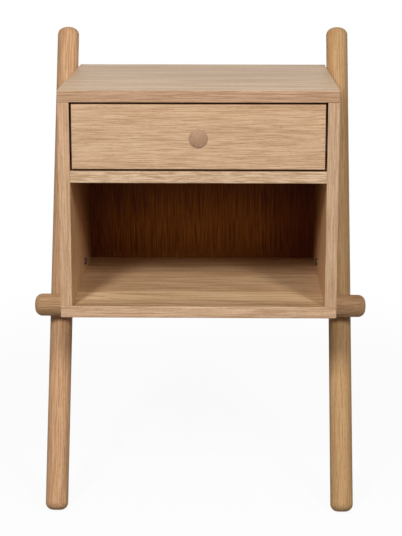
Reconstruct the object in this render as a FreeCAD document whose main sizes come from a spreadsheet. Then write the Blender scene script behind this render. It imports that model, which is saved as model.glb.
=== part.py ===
import FreeCAD, Part
import os
import re

import Sketcher
from FreeCAD import Placement, Rotation, Vector

# Leaning bedside cabinet in oak: an open-fronted case with one inset drawer over an open
# shelf bay.  Two round poles, one outside each end of the case, lean back against the wall
# and stand forward on the floor.  A round cross bar lies under the case in front of the
# poles and is bolted to them.
#
# Frame: +Z up, +X to the right as one faces the drawer, +Y towards the wall.  The origin is
# on the floor, at the middle of the space that the cabinet takes between knob and wall.

# Driving dimensions, in millimetres and degrees.
SIZES = {
    # Case
    "case_width": 420,        # outside, over the end faces of the top
    "case_depth": 396,        # front edge of the top to the wall
    "top_height": 682,        # floor to the upper face of the top
    "board": 18,              # every board of the case and the drawer front
    "drawer_bay": 103,        # clear height of the drawer bay
    "shelf_bay": 190,         # clear height of the open bay
    "edge_round": 1.5,        # eased edges of the boards
    "back_sheet": 6,
    "back_recess": 41,        # wall to the rear face of the back sheet
    "groove_depth": 6,
    "groove_gap": 0.1,
    # Wall rail behind the back sheet
    "rail_height": 60,
    "rail_dowel_span": 30,
    "wall_hole": 5.5,
    "wall_hole_span": 256,
    "access_hole": 12,        # lets the wall screws through the back sheet
    # Poles and cross bar
    "pole_diameter": 36,
    "pole_lean": 24.2,        # degrees back from upright
    "pole_rise": 62,          # top end above the top panel, on the pole's axis
    "bar_diameter": 36,
    "bar_length": 534,
    "end_flat": 12,           # flat left at the middle of each rounded end
    # Dowels of the case and of the drawer box
    "dowel": 8,
    "dowel_length": 30,
    "dowel_bite": 12,         # length in the face of a board
    "dowel_inset": 40,        # front edge to the first dowel
    "dowel_span": 280,        # first dowel to the last
    "box_dowel": 6,
    "box_dowel_length": 24,
    "box_dowel_bite": 8,
    "box_dowel_inset": 25,
    "fit_gap": 0.05,          # round a dowel, insert or screw
    "hole_spare": 1,          # depth past the end of what a hole holds
    # Bolts and threaded inserts
    "bolt": 6,
    "bolt_play": 0.25,
    "bolt_back_gap": 12,      # back sheet to the middle of an upper pole bolt
    "bolt_height": 22,        # shelf to the middle of a lower pole bolt
    "pole_bolt_length": 30,
    "button_head": 12,
    "button_rise": 3.3,
    "button_round": 2.7,
    "button_key": 4,
    "bar_bolt_length": 40,
    "cap_head": 10,
    "cap_rise": 6,
    "cap_round": 0.6,
    "cap_key": 5,
    "bolt_sink": 8,           # counterbore in the rear of a pole
    "insert": 10,
    "insert_length": 13,
    "insert_sink": 1,
    # Drawer
    "front_side_gap": 2.7,
    "front_top_gap": 2.5,
    "front_low_gap": 3,
    "box_board": 12,
    "box_rise": 12,           # mid panel to the drawer box
    "box_head": 15,           # drawer box to the top panel
    "drawer_back_gap": 31,    # drawer box to the back sheet
    "drawer_sheet": 5,
    "bottom_rise": 8,
    "bottom_bite": 6,
    "knob": 28,
    "knob_reach": 4,          # from the front board to the middle of the knob's low dome
    "knob_rim": 1.8,
    "knob_round": 0.8,
    "knob_spigot": 16,
    "knob_spigot_length": 12,
    "knob_insert": 8,
    "knob_insert_length": 12,
    "knob_thread": 4,
    "knob_screw_length": 28,
    "face_screw_span": 220,
    "face_screw_length": 25,
    "screw": 4,
    "screw_point": 3,
    "pan_head": 8,
    "pan_rise": 2.2,
    # Ball-bearing slides
    "slide_thick": 12.7,
    "slide_height": 45.5,
    "slide_steel": 1.2,
    "slide_inset": 30,        # end of a slide to its outer screws in the case
    "box_screw_inset": 50,    # the same for the screws in the drawer box
    "slide_head": 7,
    "slide_rise": 1.8,
    "case_screw_length": 14,
    "box_screw_length": 10,
    "ball": 4,
    "ball_gap": 0.1,
    "run_gap": 0.4,           # between members that pass each other
    "strip_gap": 0.25,        # round a ball retainer
    "strip_sheet": 0.6,
    "retainer_length": 140,
    "ball_inset": 14,
}

# Places and lengths that follow from the driving dimensions.
FOLLOWS = {
    # Case
    "front_y": "-(case_depth - knob_reach) / 2",
    "wall_y": "front_y + case_depth",
    "inner_x": "case_width / 2 - board",
    "bay_top_z": "top_height - board",
    "mid_top_z": "bay_top_z - drawer_bay",
    "mid_low_z": "mid_top_z - board",
    "shelf_z": "mid_low_z - shelf_bay",
    "under_z": "shelf_z - board",
    "side_height": "bay_top_z - shelf_z",
    "inner_depth": "case_depth - back_recess - back_sheet",
    "rail_middle": "side_height - rail_height / 2",
    "dowel_hole": "dowel + 2 * fit_gap",
    "face_hole_depth": "dowel_bite + hole_spare / 2",
    "end_hole_depth": "dowel_length - dowel_bite + hole_spare / 2",
    # Poles and cross bar: a pole touches the case's end face, its head touches the wall,
    # its foot touches the floor, and the bar touches both poles and the underside
    "lean_sin": "sin(pole_lean * 1 deg)",
    "lean_cos": "cos(pole_lean * 1 deg)",
    "lean_tan": "tan(pole_lean * 1 deg)",
    "pole_radius": "pole_diameter / 2",
    "pole_round": "pole_radius - end_flat / 2",
    "pole_x": "case_width / 2 + pole_radius",
    "pole_top_z": "top_height + pole_rise",
    "pole_top_y": "wall_y - end_flat / 2 * lean_cos - pole_round * (1 - lean_sin)",
    "foot_z": "end_flat / 2 * lean_sin + pole_round * (1 - lean_cos)",
    "pole_length": "(pole_top_z - foot_z) / lean_cos",
    "foot_y": "pole_top_y - pole_length * lean_sin",
    "bar_radius": "bar_diameter / 2",
    "bar_round": "bar_radius - end_flat / 2",
    "bar_z": "under_z - bar_radius",
    "bar_y": "pole_top_y - (pole_top_z - bar_z) * lean_tan - (pole_radius + bar_radius) / lean_cos",
    "crossing": "(bar_y - foot_y) * lean_sin + (bar_z - foot_z) * lean_cos",
    # Bolts: the upper pair is hidden behind the slides, the lower pair shows over the shelf
    "bolt_hole": "bolt + 2 * bolt_play",
    "insert_hole": "insert + 2 * fit_gap",
    "insert_hole_depth": "insert_sink + insert_length + hole_spare",
    "bolt_high_y": "front_y + inner_depth - bolt_back_gap",
    "bolt_high_z": "pole_top_z - (pole_top_y - bolt_high_y) / lean_tan",
    "bolt_low_z": "shelf_z + bolt_height",
    "bolt_low_y": "pole_top_y - (pole_top_z - bolt_low_z) * lean_tan",
    # Drawer
    "face_half": "inner_x - front_side_gap",
    "face_height": "drawer_bay - front_top_gap - front_low_gap",
    "face_low_z": "mid_top_z + front_low_gap",
    "knob_z": "box_low_z + box_height / 2",
    "box_half": "inner_x - slide_thick",
    "box_inner_half": "box_half - box_board",
    "box_front_y": "front_y + board",
    "box_depth": "inner_depth - board - drawer_back_gap",
    "box_height": "drawer_bay - box_rise - box_head",
    "box_low_z": "mid_top_z + box_rise",
    "knob_hole_depth": "knob_insert_length + hole_spare",
    "screw_hole": "screw + 2 * fit_gap",
    "thread_hole": "knob_thread + 2 * bolt_play",
    # Slides, seen from the case: outer member, middle member, inner member
    "slide_z": "box_low_z + box_height / 2",
    "slide_half": "slide_height / 2",
    "middle_half": "slide_half - slide_steel - ball - 2 * ball_gap",
    "inner_half": "middle_half - slide_steel - ball - 2 * ball_gap",
    "middle_web": "slide_steel + slide_rise + run_gap",
    "middle_tip": "slide_thick - slide_steel - run_gap",
    "outer_tip": "middle_tip - run_gap - strip_gap",
    "inner_tip": "middle_web + slide_steel + run_gap",
    "outer_row_z": "slide_half - slide_steel - ball_gap - ball / 2",
    "inner_row_z": "middle_half - slide_steel - ball_gap - ball / 2",
    "outer_strip_near": "middle_web",
    "outer_strip_far": "outer_tip - slide_steel - strip_gap",
    "inner_strip_near": "middle_web + slide_steel + strip_gap",
    "inner_strip_far": "middle_tip - slide_steel - strip_gap",
    "retainer_start": "(box_depth - retainer_length) / 2",
}

DOWELS_IN_A_ROW = 3
SCREWS_IN_A_ROW = 3
BALLS_IN_A_ROW = 8
LEFT = -1
RIGHT = 1
SIDE_NAMES = {LEFT: "left", RIGHT: "right"}
TINY = 0.01
SOCKET_SHARE = "2 / 3"        # depth of a head's socket, as a share of the head's rise

# Middles of the pole bolts, and of the drawer box's dowels from its front and from its base
POLE_BOLTS = [("bolt_high_y", "bolt_high_z"), ("bolt_low_y", "bolt_low_z")]
BOX_DOWEL_DEPTHS = ["box_board / 2", "box_depth - box_board / 2"]
BOX_DOWEL_HEIGHTS = ["box_dowel_inset", "box_height - box_dowel_inset"]

# For each set of balls: the retainer's near and far edge, and its height over the middle
BALL_ROWS = {
    "outer": ("outer_strip_near", "outer_strip_far", "outer_row_z"),
    "inner": ("inner_strip_near", "inner_strip_far", "inner_row_z"),
}

# Ways of turning a piece made along its own +Z
UPRIGHT = (Vector(0, 0, 1), "0")
TOWARDS_X = {LEFT: (Vector(0, -1, 0), "90"), RIGHT: (Vector(0, 1, 0), "90")}
SCREWED_TOWARDS_X = {LEFT: (Vector(0, 1, 0), "90"), RIGHT: (Vector(0, -1, 0), "90")}
SCREWED_TO_THE_FRONT = (Vector(-1, 0, 0), "90")
ALONG_THE_LEAN = (Vector(-1, 0, 0), "pole_lean")
BAR_BOLT_TURN = (Vector(-1, 0, 0), "90 + pole_lean")
BAR_INSERT_TURN = (Vector(1, 0, 0), "90 - pole_lean")

doc = FreeCAD.newDocument("leaning_bedside_cabinet")
sheet = doc.addObject("Spreadsheet::Sheet", "Sizes")
for row, (alias, number) in enumerate(SIZES.items(), 1):
    sheet.set(f"A{row}", alias)
    sheet.set(f"B{row}", str(number))
    sheet.setAlias(f"B{row}", alias)
doc.recompute()

nodes = []


# Formulas and sketches

def formula(text):
    """The text with each size and each place written out for the sheet."""
    def written_out(match):
        word = match.group()
        if word in SIZES:
            return "Sizes." + word
        if word in FOLLOWS:
            return "(" + formula(FOLLOWS[word]) + ")"
        return word
    return re.sub(r"[a-z][a-z_]*", written_out, text)


def value(text):
    return float(sheet.evalExpression(formula(text)))


def bind(thing, setting, text):
    thing.setExpression(setting, formula(text))


def place(thing, x, y, z, turn=UPRIGHT):
    axis, angle = turn
    thing.Placement = Placement(Vector(value(x), value(y), value(z)), Rotation(axis, value(angle)))
    bind(thing, "Placement.Base.x", x)
    bind(thing, "Placement.Base.y", y)
    bind(thing, "Placement.Base.z", z)
    if turn is not UPRIGHT:
        bind(thing, "Placement.Rotation.Angle", angle)


def origin_feature(body, role):
    return next(feature for feature in body.Origin.OriginFeatures if feature.Role == role)


def new_body(label):
    body = doc.addObject("PartDesign::Body", label)
    body.Label = label
    body.AllowCompound = True
    return body


def sketch_on(body, role, lift="0"):
    sketch = body.newObject("Sketcher::SketchObject", "sketch")
    sketch.AttachmentSupport = [(origin_feature(body, role), "")]
    sketch.MapMode = "FlatFace"
    bind(sketch, "AttachmentOffset.Base.z", lift)
    return sketch


def hold(sketch, geometry, point, x, y):
    """Dimensions from the sketch's origin to a point."""
    for direction, distance in (("DistanceX", x), ("DistanceY", y)):
        number = sketch.addConstraint(
            Sketcher.Constraint(direction, -1, 1, geometry, point, value(distance)))
        name = f"place{number}"
        sketch.renameConstraint(number, name)
        bind(sketch, "Constraints." + name, distance)


def outline(sketch, corners):
    """A closed outline of straight lines through the corners."""
    points = [Vector(value(x), value(y), 0) for x, y in corners]
    lines = [sketch.addGeometry(Part.LineSegment(start, end))
             for start, end in zip(points, points[1:] + points[:1])]
    for line, following in zip(lines, lines[1:] + lines[:1]):
        sketch.addConstraint(Sketcher.Constraint("Coincident", line, 2, following, 1))
    for line, (x, y) in zip(lines, corners):
        hold(sketch, line, 1, x, y)


def rectangle(left, low, right, high):
    return [(left, low), (right, low), (right, high), (left, high)]


def hexagon(key):
    """The key is the width across two flats."""
    corner = f"{key} / 2 / cos(30 deg)"
    return [(f"{corner} * cos({turn} deg)", f"{corner} * sin({turn} deg)") for turn in range(0, 360, 60)]


def cross(arm, width):
    """Four arms, each running from the middle to its end."""
    half = f"{width} / 2"
    back_arm, back_half = f"-({arm})", f"-{half}"
    return [(half, half), (half, arm), (back_half, arm), (back_half, half),
            (back_arm, half), (back_arm, back_half), (back_half, back_half), (back_half, back_arm),
            (half, back_arm), (half, back_half), (arm, back_half), (arm, half)]


def circle(sketch, x, y, diameter):
    centre = Vector(value(x), value(y), 0)
    ring = sketch.addGeometry(Part.Circle(centre, Vector(0, 0, 1), value(diameter) / 2))
    hold(sketch, ring, 3, x, y)
    number = sketch.addConstraint(Sketcher.Constraint("Diameter", ring, value(diameter)))
    name = f"width{number}"
    sketch.renameConstraint(number, name)
    bind(sketch, "Constraints." + name, diameter)


# Features

def add_feature(body, kind, name):
    feature = body.newObject("PartDesign::" + kind, name)
    body.Tip = feature
    return feature


def pad(body, sketch, length, forward=True):
    """Forward is the way the sketch's plane faces: +Z, +X, or -Y for the upright plane."""
    feature = add_feature(body, "Pad", "pad")
    feature.Profile = sketch
    bind(feature, "Length", length)
    feature.Reversed = not forward
    return feature


def pocket(body, sketch, depth, forward):
    feature = add_feature(body, "Pocket", "pocket")
    feature.Profile = sketch
    bind(feature, "Length", depth)
    feature.Reversed = forward
    return feature


def slab(label, role, corners, thickness, forward=True):
    body = new_body(label)
    sketch = sketch_on(body, role)
    outline(sketch, corners)
    pad(body, sketch, thickness, forward)
    return body


def cut(body, role, lift, corners, depth, forward):
    sketch = sketch_on(body, role, lift)
    outline(sketch, corners)
    return pocket(body, sketch, depth, forward)


def drill(body, role, lift, centres, diameter, depth, forward):
    sketch = sketch_on(body, role, lift)
    for x, y in centres:
        circle(sketch, x, y, diameter)
    return pocket(body, sketch, depth, forward)


def repeat(body, feature, role, span, count):
    pattern = add_feature(body, "LinearPattern", "row")
    pattern.Originals = [feature]
    pattern.Direction = (origin_feature(body, role), [""])
    bind(pattern, "Length", span)
    pattern.Occurrences = count
    body.Tip = pattern
    return pattern


def turned(label, role, corners, axis):
    """A piece turned about its sketch's own axis."""
    body = new_body(label)
    sketch = sketch_on(body, role)
    outline(sketch, corners)
    feature = add_feature(body, "Revolution", "turned")
    feature.Profile = sketch
    feature.ReferenceAxis = (sketch, [axis])
    feature.Angle = 360
    return body


def ease(body, radius, chosen):
    """Round the edges whose bounds are chosen."""
    doc.recompute()
    base = body.Tip
    edges = [f"Edge{number}" for number, edge in enumerate(base.Shape.Edges, 1) if chosen(edge.BoundBox)]
    fillet = add_feature(body, "Fillet", "eased")
    fillet.Base = (base, edges)
    bind(fillet, "Radius", radius)


def keep(thing):
    nodes.append(thing)
    return thing


def group(label, master, places):
    """Copies of one piece as one node of separate solids."""
    copies = []
    for x, y, z, turn in places:
        copy = doc.addObject("App::Link", label + "_copy")
        copy.LinkedObject = master
        place(copy, x, y, z, turn)
        copies.append(copy)
    compound = doc.addObject("Part::Compound", label)
    compound.Label = label
    compound.Links = copies
    return keep(compound)


def both_signs(text):
    return (f"-({text})", text)


def in_a_row(start, span, count):
    return [f"{start} + ({span}) * {number} / {count - 1}" for number in range(count)]


# Case boards

def case_panel(label, low_z, mating_face, upward):
    """Top or bottom: it lies over the ends of the sides, with their dowels and the back in it."""
    body = slab(label, "XY_Plane",
                rectangle("-case_width / 2", "0", "case_width / 2", "case_depth"), "board")
    rear = value("case_depth")
    ease(body, "edge_round", lambda bounds: bounds.YMin < rear - TINY)
    cut(body, "XY_Plane", mating_face,
        rectangle("-(inner_x + groove_depth)", "inner_depth - groove_gap",
                  "inner_x + groove_depth", "inner_depth + back_sheet + groove_gap"),
        "groove_depth", upward)
    centres = [(x, "dowel_inset") for x in both_signs("inner_x + board / 2")]
    holes = drill(body, "XY_Plane", mating_face, centres, "dowel_hole", "face_hole_depth", upward)
    repeat(body, holes, "Y_Axis", "dowel_span", DOWELS_IN_A_ROW)
    place(body, "0", "front_y", low_z)
    return keep(body)


def rail_dowel_heights(middle):
    return [f"{middle} + {offset}" for offset in both_signs("rail_dowel_span / 2")]


def side_panel(side):
    """Its own x = 0 is the inner face, and it goes outwards from there."""
    outward = side == RIGHT
    body = slab(SIDE_NAMES[side] + "_side_panel", "YZ_Plane",
                rectangle("0", "0", "case_depth", "side_height"), "board", outward)
    ease(body, "edge_round", lambda bounds: bounds.YMax < TINY and bounds.ZLength > TINY)
    cut(body, "YZ_Plane", "0",
        rectangle("inner_depth - groove_gap", "0",
                  "inner_depth + back_sheet + groove_gap", "side_height"),
        "groove_depth", outward)
    for end, upward in (("side_height", False), ("0", True)):
        holes = drill(body, "XY_Plane", end, [(f"{side} * board / 2", "dowel_inset")],
                      "dowel_hole", "end_hole_depth", upward)
        repeat(body, holes, "Y_Axis", "dowel_span", DOWELS_IN_A_ROW)
    holes = drill(body, "YZ_Plane", "0", [("dowel_inset", "shelf_bay + board / 2")],
                  "dowel_hole", "face_hole_depth", outward)
    repeat(body, holes, "Y_Axis", "dowel_span", DOWELS_IN_A_ROW)
    centres = [("case_depth - board / 2", z) for z in rail_dowel_heights("rail_middle")]
    drill(body, "YZ_Plane", "0", centres, "dowel_hole", "face_hole_depth", outward)
    centres = [(f"{y} - front_y", f"{z} - shelf_z") for y, z in POLE_BOLTS]
    drill(body, "YZ_Plane", "0", centres, "bolt_hole", "board + hole_spare", outward)
    holes = drill(body, "YZ_Plane", "0", [("board + slide_inset", "slide_z - shelf_z")],
                  "screw_hole", "case_screw_length", outward)
    repeat(body, holes, "Y_Axis", "box_depth - 2 * slide_inset", SCREWS_IN_A_ROW)
    place(body, f"{side} * inner_x", "front_y", "shelf_z")
    return keep(body)


def mid_panel():
    """Between the sides and up to the back sheet, on dowels at each end."""
    body = slab("mid_panel", "XY_Plane", rectangle("-inner_x", "0", "inner_x", "inner_depth"), "board")
    ease(body, "edge_round", lambda bounds: bounds.YMax < TINY and bounds.XLength > TINY)
    for end, forward in (("inner_x", False), ("-inner_x", True)):
        holes = drill(body, "YZ_Plane", end, [("dowel_inset", "board / 2")],
                      "dowel_hole", "end_hole_depth", forward)
        repeat(body, holes, "Y_Axis", "dowel_span", DOWELS_IN_A_ROW)
    place(body, "0", "front_y", "mid_low_z")
    return keep(body)


def back_panel():
    """A thin sheet let into grooves in the top, bottom and sides."""
    half = "inner_x + groove_depth - groove_gap"
    body = slab("back_panel", "XZ_Plane",
                rectangle(f"-({half})", "groove_gap - groove_depth",
                          half, "side_height + groove_depth - groove_gap"),
                "back_sheet", False)
    centres = [(x, "rail_middle") for x in both_signs("wall_hole_span / 2")]
    drill(body, "XZ_Plane", "0", centres, "access_hole", "back_sheet + hole_spare", False)
    place(body, "0", "front_y + inner_depth", "shelf_z")
    return keep(body)


def wall_rail():
    """Flush with the rear edges; the two wall screws go through it."""
    body = slab("wall_rail", "XZ_Plane",
                rectangle("-inner_x", "-rail_height", "inner_x", "0"), "board", False)
    centres = [(x, "-rail_height / 2") for x in both_signs("wall_hole_span / 2")]
    drill(body, "XZ_Plane", "0", centres, "wall_hole", "board + hole_spare", False)
    for end, forward in (("inner_x", False), ("-inner_x", True)):
        centres = [("board / 2", z) for z in rail_dowel_heights("-rail_height / 2")]
        drill(body, "YZ_Plane", end, centres, "dowel_hole", "end_hole_depth", forward)
    place(body, "0", "wall_y - board", "bay_top_z")
    return keep(body)


# Poles and cross bar

def round_rod(label, role, corners, axis, radius, length_of):
    """A turned rod with both ends rounded over; length_of reads a bound box along the rod."""
    body = turned(label, role, corners, axis)
    ease(body, radius, lambda bounds: length_of(bounds) < TINY)
    return body


def pole(side):
    """Its own +Z runs up the pole from the foot, and +Y faces down and back."""
    body = round_rod(SIDE_NAMES[side] + "_pole", "XZ_Plane",
                     rectangle("0", "0", "pole_radius", "pole_length"),
                     "V_Axis", "pole_round", lambda bounds: bounds.ZLength)
    centres = [("0", f"({z} - foot_z) / lean_cos") for y, z in POLE_BOLTS]
    drill(body, "YZ_Plane", f"{-side} * (pole_radius - insert_hole_depth)", centres,
          "insert_hole", "insert_hole_depth + hole_spare", side == LEFT)
    drill(body, "XZ_Plane", "pole_radius + hole_spare", [("0", "crossing")],
          "bolt_hole", "pole_diameter + 2 * hole_spare", False)
    drill(body, "XZ_Plane", "bolt_sink - pole_radius", [("0", "crossing")],
          "cap_head + 2 * bolt_play", "bolt_sink + hole_spare", False)
    place(body, f"{side} * pole_x", "foot_y", "foot_z", ALONG_THE_LEAN)
    return keep(body)


def cross_bar():
    """Turned with the poles' lean, so that its own +Y points at them."""
    body = round_rod("cross_bar", "XZ_Plane",
                     rectangle("-bar_length / 2", "0", "bar_length / 2", "bar_radius"),
                     "H_Axis", "bar_round", lambda bounds: bounds.XLength)
    drill(body, "XZ_Plane", "insert_hole_depth - bar_radius", [(x, "0") for x in both_signs("pole_x")],
          "insert_hole", "insert_hole_depth + hole_spare", False)
    place(body, "0", "bar_y", "bar_z", ALONG_THE_LEAN)
    return keep(body)


# Fasteners, made with the head on +Z and the shank down -Z

def bolt_master(label, length, head, rise, edge, key):
    """The edge is the radius that rounds the top of its head."""
    body = turned(label, "XZ_Plane",
                  [("0", f"-{length}"), ("bolt / 2", f"-{length}"), ("bolt / 2", "0"),
                   (f"{head} / 2", "0"), (f"{head} / 2", rise), ("0", rise)],
                  "V_Axis")
    widest = value(head) - TINY
    ease(body, edge, lambda bounds: bounds.ZMin > TINY and bounds.XLength > widest)
    cut(body, "XY_Plane", rise, hexagon(key), f"{rise} * {SOCKET_SHARE}", False)
    return body


def screw_master(label, shank, length, head, rise, point):
    """Its head narrows to two thirds at the top, and the blunt point to half the shank."""
    body = turned(label, "XZ_Plane",
                  [("0", f"-{length}"), (f"{shank} / 4", f"-{length}"),
                   (f"{shank} / 2", f"{point} - {length}"), (f"{shank} / 2", "0"),
                   (f"{head} / 2", "0"), (f"{head} / 2", f"{rise} / 2"), (f"{head} / 3", rise), ("0", rise)],
                  "V_Axis")
    cut(body, "XY_Plane", rise, cross(f"{head} / 4", f"{head} / 8"), f"{rise} * {SOCKET_SHARE}", False)
    return body


def insert_master(label, outside, thread, length):
    return turned(label, "XZ_Plane",
                  rectangle(f"{thread} / 2 + fit_gap", "0", f"{outside} / 2", length), "V_Axis")


def case_dowels():
    dowel = doc.addObject("Part::Cylinder", "case_dowel")
    bind(dowel, "Radius", "dowel / 2")
    bind(dowel, "Height", "dowel_length")
    places = []
    for y in in_a_row("front_y + dowel_inset", "dowel_span", DOWELS_IN_A_ROW):
        for side in (LEFT, RIGHT):
            x = f"{side} * (inner_x + board / 2)"
            places.append((x, y, "bay_top_z + dowel_bite - dowel_length", UPRIGHT))
            places.append((x, y, "shelf_z - dowel_bite", UPRIGHT))
            places.append((f"{side} * (inner_x + dowel_bite - dowel_length)", y, "mid_low_z + board / 2",
                           TOWARDS_X[side]))
    for z in rail_dowel_heights("bay_top_z - rail_height / 2"):
        for side in (LEFT, RIGHT):
            places.append((f"{side} * (inner_x + dowel_bite - dowel_length)", "wall_y - board / 2", z,
                           TOWARDS_X[side]))
    return group("case_dowels", dowel, places)


def pole_fasteners():
    bolt = bolt_master("pole_bolt", "pole_bolt_length",
                       "button_head", "button_rise", "button_round", "button_key")
    insert = insert_master("pole_insert", "insert", "bolt", "insert_length")
    spots = [(side, y, z) for side in (LEFT, RIGHT) for y, z in POLE_BOLTS]
    group("pole_bolts", bolt,
          [(f"{side} * inner_x", y, z, SCREWED_TOWARDS_X[side]) for side, y, z in spots])
    group("pole_inserts", insert,
          [(f"{side} * (case_width / 2 + insert_sink)", y, z, TOWARDS_X[side]) for side, y, z in spots])


def bar_fasteners():
    """On the line from the bar's middle through each pole's axis, out at the pole's rear."""
    bolt = bolt_master("bar_bolt", "bar_bolt_length", "cap_head", "cap_rise", "cap_round", "cap_key")
    insert = insert_master("bar_insert", "insert", "bolt", "insert_length")
    seat = "(bar_radius + pole_diameter - bolt_sink)"
    mouth = "(bar_radius - insert_sink)"
    group("bar_bolts", bolt,
          [(x, f"bar_y + {seat} * lean_cos", f"bar_z - {seat} * lean_sin", BAR_BOLT_TURN)
           for x in both_signs("pole_x")])
    group("bar_inserts", insert,
          [(x, f"bar_y + {mouth} * lean_cos", f"bar_z - {mouth} * lean_sin", BAR_INSERT_TURN)
           for x in both_signs("pole_x")])


# Drawer

def drawer_front():
    """Inset face board, with the knob's spigot and screw in it and the box's screws in its rear."""
    body = slab("drawer_front", "XZ_Plane",
                rectangle("-face_half", "0", "face_half", "face_height"), "board", False)
    ease(body, "edge_round", lambda bounds: bounds.YMax < TINY)
    drill(body, "XZ_Plane", "0", [("0", "knob_z - face_low_z")],
          "thread_hole", "board + hole_spare", False)
    drill(body, "XZ_Plane", "0", [("0", "knob_z - face_low_z")],
          "knob_spigot + 2 * fit_gap", "knob_spigot_length + hole_spare / 2", False)
    centres = [(x, "slide_z - face_low_z") for x in both_signs("face_screw_span / 2")]
    drill(body, "XZ_Plane", "-board", centres,
          "screw_hole", "face_screw_length - box_board + hole_spare / 2", True)
    place(body, "0", "front_y", "face_low_z")
    return keep(body)


def box_end(label, y, inner_face, forward):
    """Front or back of the drawer box, between the sides, grooved for the bottom."""
    body = slab(label, "XZ_Plane", rectangle("-box_inner_half", "0", "box_inner_half", "box_height"),
                "box_board", False)
    cut(body, "XZ_Plane", inner_face,
        rectangle("-box_inner_half", "bottom_rise - groove_gap",
                  "box_inner_half", "bottom_rise + drawer_sheet + groove_gap"),
        "bottom_bite", forward)
    for end, inward in (("box_inner_half", False), ("-box_inner_half", True)):
        drill(body, "YZ_Plane", end, [("box_board / 2", z) for z in BOX_DOWEL_HEIGHTS],
              "box_dowel + 2 * fit_gap", "box_dowel_length - box_dowel_bite + hole_spare / 2", inward)
    place(body, "0", y, "box_low_z")
    return keep(body)


def drawer_box_front():
    body = box_end("drawer_box_front", "box_front_y", "-box_board", True)
    centres = [(x, "box_height / 2") for x in both_signs("face_screw_span / 2")]
    drill(body, "XZ_Plane", "0", centres, "screw_hole", "box_board + hole_spare", False)
    drill(body, "XZ_Plane", "0", [("0", "knob_z - box_low_z")],
          "thread_hole", "box_board + hole_spare", False)
    return body


def drawer_side(side):
    """Its own x = 0 is the outer face, against the slide."""
    inward = side == LEFT
    body = slab(f"drawer_{SIDE_NAMES[side]}_side", "YZ_Plane",
                rectangle("0", "0", "box_depth", "box_height"), "box_board", inward)
    inner_face = f"{-side} * box_board"
    cut(body, "YZ_Plane", inner_face,
        rectangle("0", "bottom_rise - groove_gap",
                  "box_depth", "bottom_rise + drawer_sheet + groove_gap"),
        "bottom_bite", not inward)
    centres = [(y, z) for y in BOX_DOWEL_DEPTHS for z in BOX_DOWEL_HEIGHTS]
    drill(body, "YZ_Plane", inner_face, centres,
          "box_dowel + 2 * fit_gap", "box_dowel_bite + hole_spare / 2", not inward)
    holes = drill(body, "YZ_Plane", "0", [("box_screw_inset", "box_height / 2")],
                  "screw_hole", "box_screw_length", inward)
    repeat(body, holes, "Y_Axis", "box_depth - 2 * box_screw_inset", SCREWS_IN_A_ROW)
    place(body, f"{side} * box_half", "box_front_y", "box_low_z")
    return keep(body)


def drawer_bottom():
    reach = "box_board - bottom_bite + groove_gap"
    half = "box_inner_half + bottom_bite - groove_gap"
    body = slab("drawer_bottom", "XY_Plane",
                rectangle(f"-({half})", reach, half, f"box_depth - ({reach})"), "drawer_sheet")
    place(body, "0", "box_front_y", "box_low_z + bottom_rise")
    return keep(body)


def drawer_dowels():
    dowel = doc.addObject("Part::Cylinder", "box_dowel")
    bind(dowel, "Radius", "box_dowel / 2")
    bind(dowel, "Height", "box_dowel_length")
    places = [(f"{side} * (box_inner_half + box_dowel_bite - box_dowel_length)", f"box_front_y + {y}",
               f"box_low_z + {z}", TOWARDS_X[side])
              for side in (LEFT, RIGHT) for y in BOX_DOWEL_DEPTHS for z in BOX_DOWEL_HEIGHTS]
    return group("drawer_dowels", dowel, places)


def drawer_knob():
    """Turned about its own Y: a low dome to the front, and a spigot with a blind hole."""
    bore = "knob_insert / 2 + fit_gap"
    dome = [(f"knob / 2 * {out} / 3", f"-(knob_rim + (knob_reach - knob_rim) * (1 - {out * out} / 9))")
            for out in (3, 2, 1, 0)]
    body = turned("drawer_knob", "XY_Plane",
                  [(bore, "knob_spigot_length"), ("knob_spigot / 2", "knob_spigot_length"),
                   ("knob_spigot / 2", "0"), ("knob / 2", "0")] + dome
                  + [("0", "knob_spigot_length - knob_hole_depth"),
                     (bore, "knob_spigot_length - knob_hole_depth")],
                  "V_Axis")
    widest = value("knob") - TINY
    ease(body, "knob_round", lambda bounds: bounds.YMax < -TINY and bounds.XLength > widest)
    place(body, "0", "front_y", "knob_z")
    return keep(body)


def drawer_fasteners():
    insert = insert_master("knob_insert_blank", "knob_insert", "knob_thread", "knob_insert_length")
    group("knob_insert", insert, [("0", "front_y + knob_spigot_length", "knob_z", (Vector(1, 0, 0), "90"))])
    screw = screw_master("knob_screw_blank", "knob_thread", "knob_screw_length", "pan_head", "pan_rise",
                         "knob_thread / 8")
    inside_y = "box_front_y + box_board"
    group("knob_screw", screw, [("0", inside_y, "knob_z", SCREWED_TO_THE_FRONT)])
    screw = screw_master("face_screw", "screw", "face_screw_length",
                         "pan_head", "pan_rise", "screw_point")
    group("drawer_face_screws", screw,
          [(x, inside_y, "slide_z", SCREWED_TO_THE_FRONT) for x in both_signs("face_screw_span / 2")])


# Ball-bearing slides.  Each piece's own x = 0 is the side panel's inner face, and sizes
# across the slide are counted from there into the bay.

def rolled(label, inward, upper):
    """A member as long as the drawer box, alike above and below its middle."""
    corners = upper + [(x, f"-({z})") for x, z in reversed(upper)]
    return slab(label, "XZ_Plane", [(f"{inward} * ({x})", z) for x, z in corners], "box_depth", False)


def channel(label, inward, web, tip, half, lip):
    """A rolled channel with lips that keep the balls in."""
    flange = f"{half} - slide_steel"
    return rolled(label, inward,
                  [(web, half), (tip, half), (tip, lip), (f"{tip} - slide_steel", lip),
                   (f"{tip} - slide_steel", flange), (f"{web} + slide_steel", flange)])


def set_slide(body, side):
    place(body, f"{side} * inner_x", "box_front_y", "slide_z")
    return keep(body)


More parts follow.
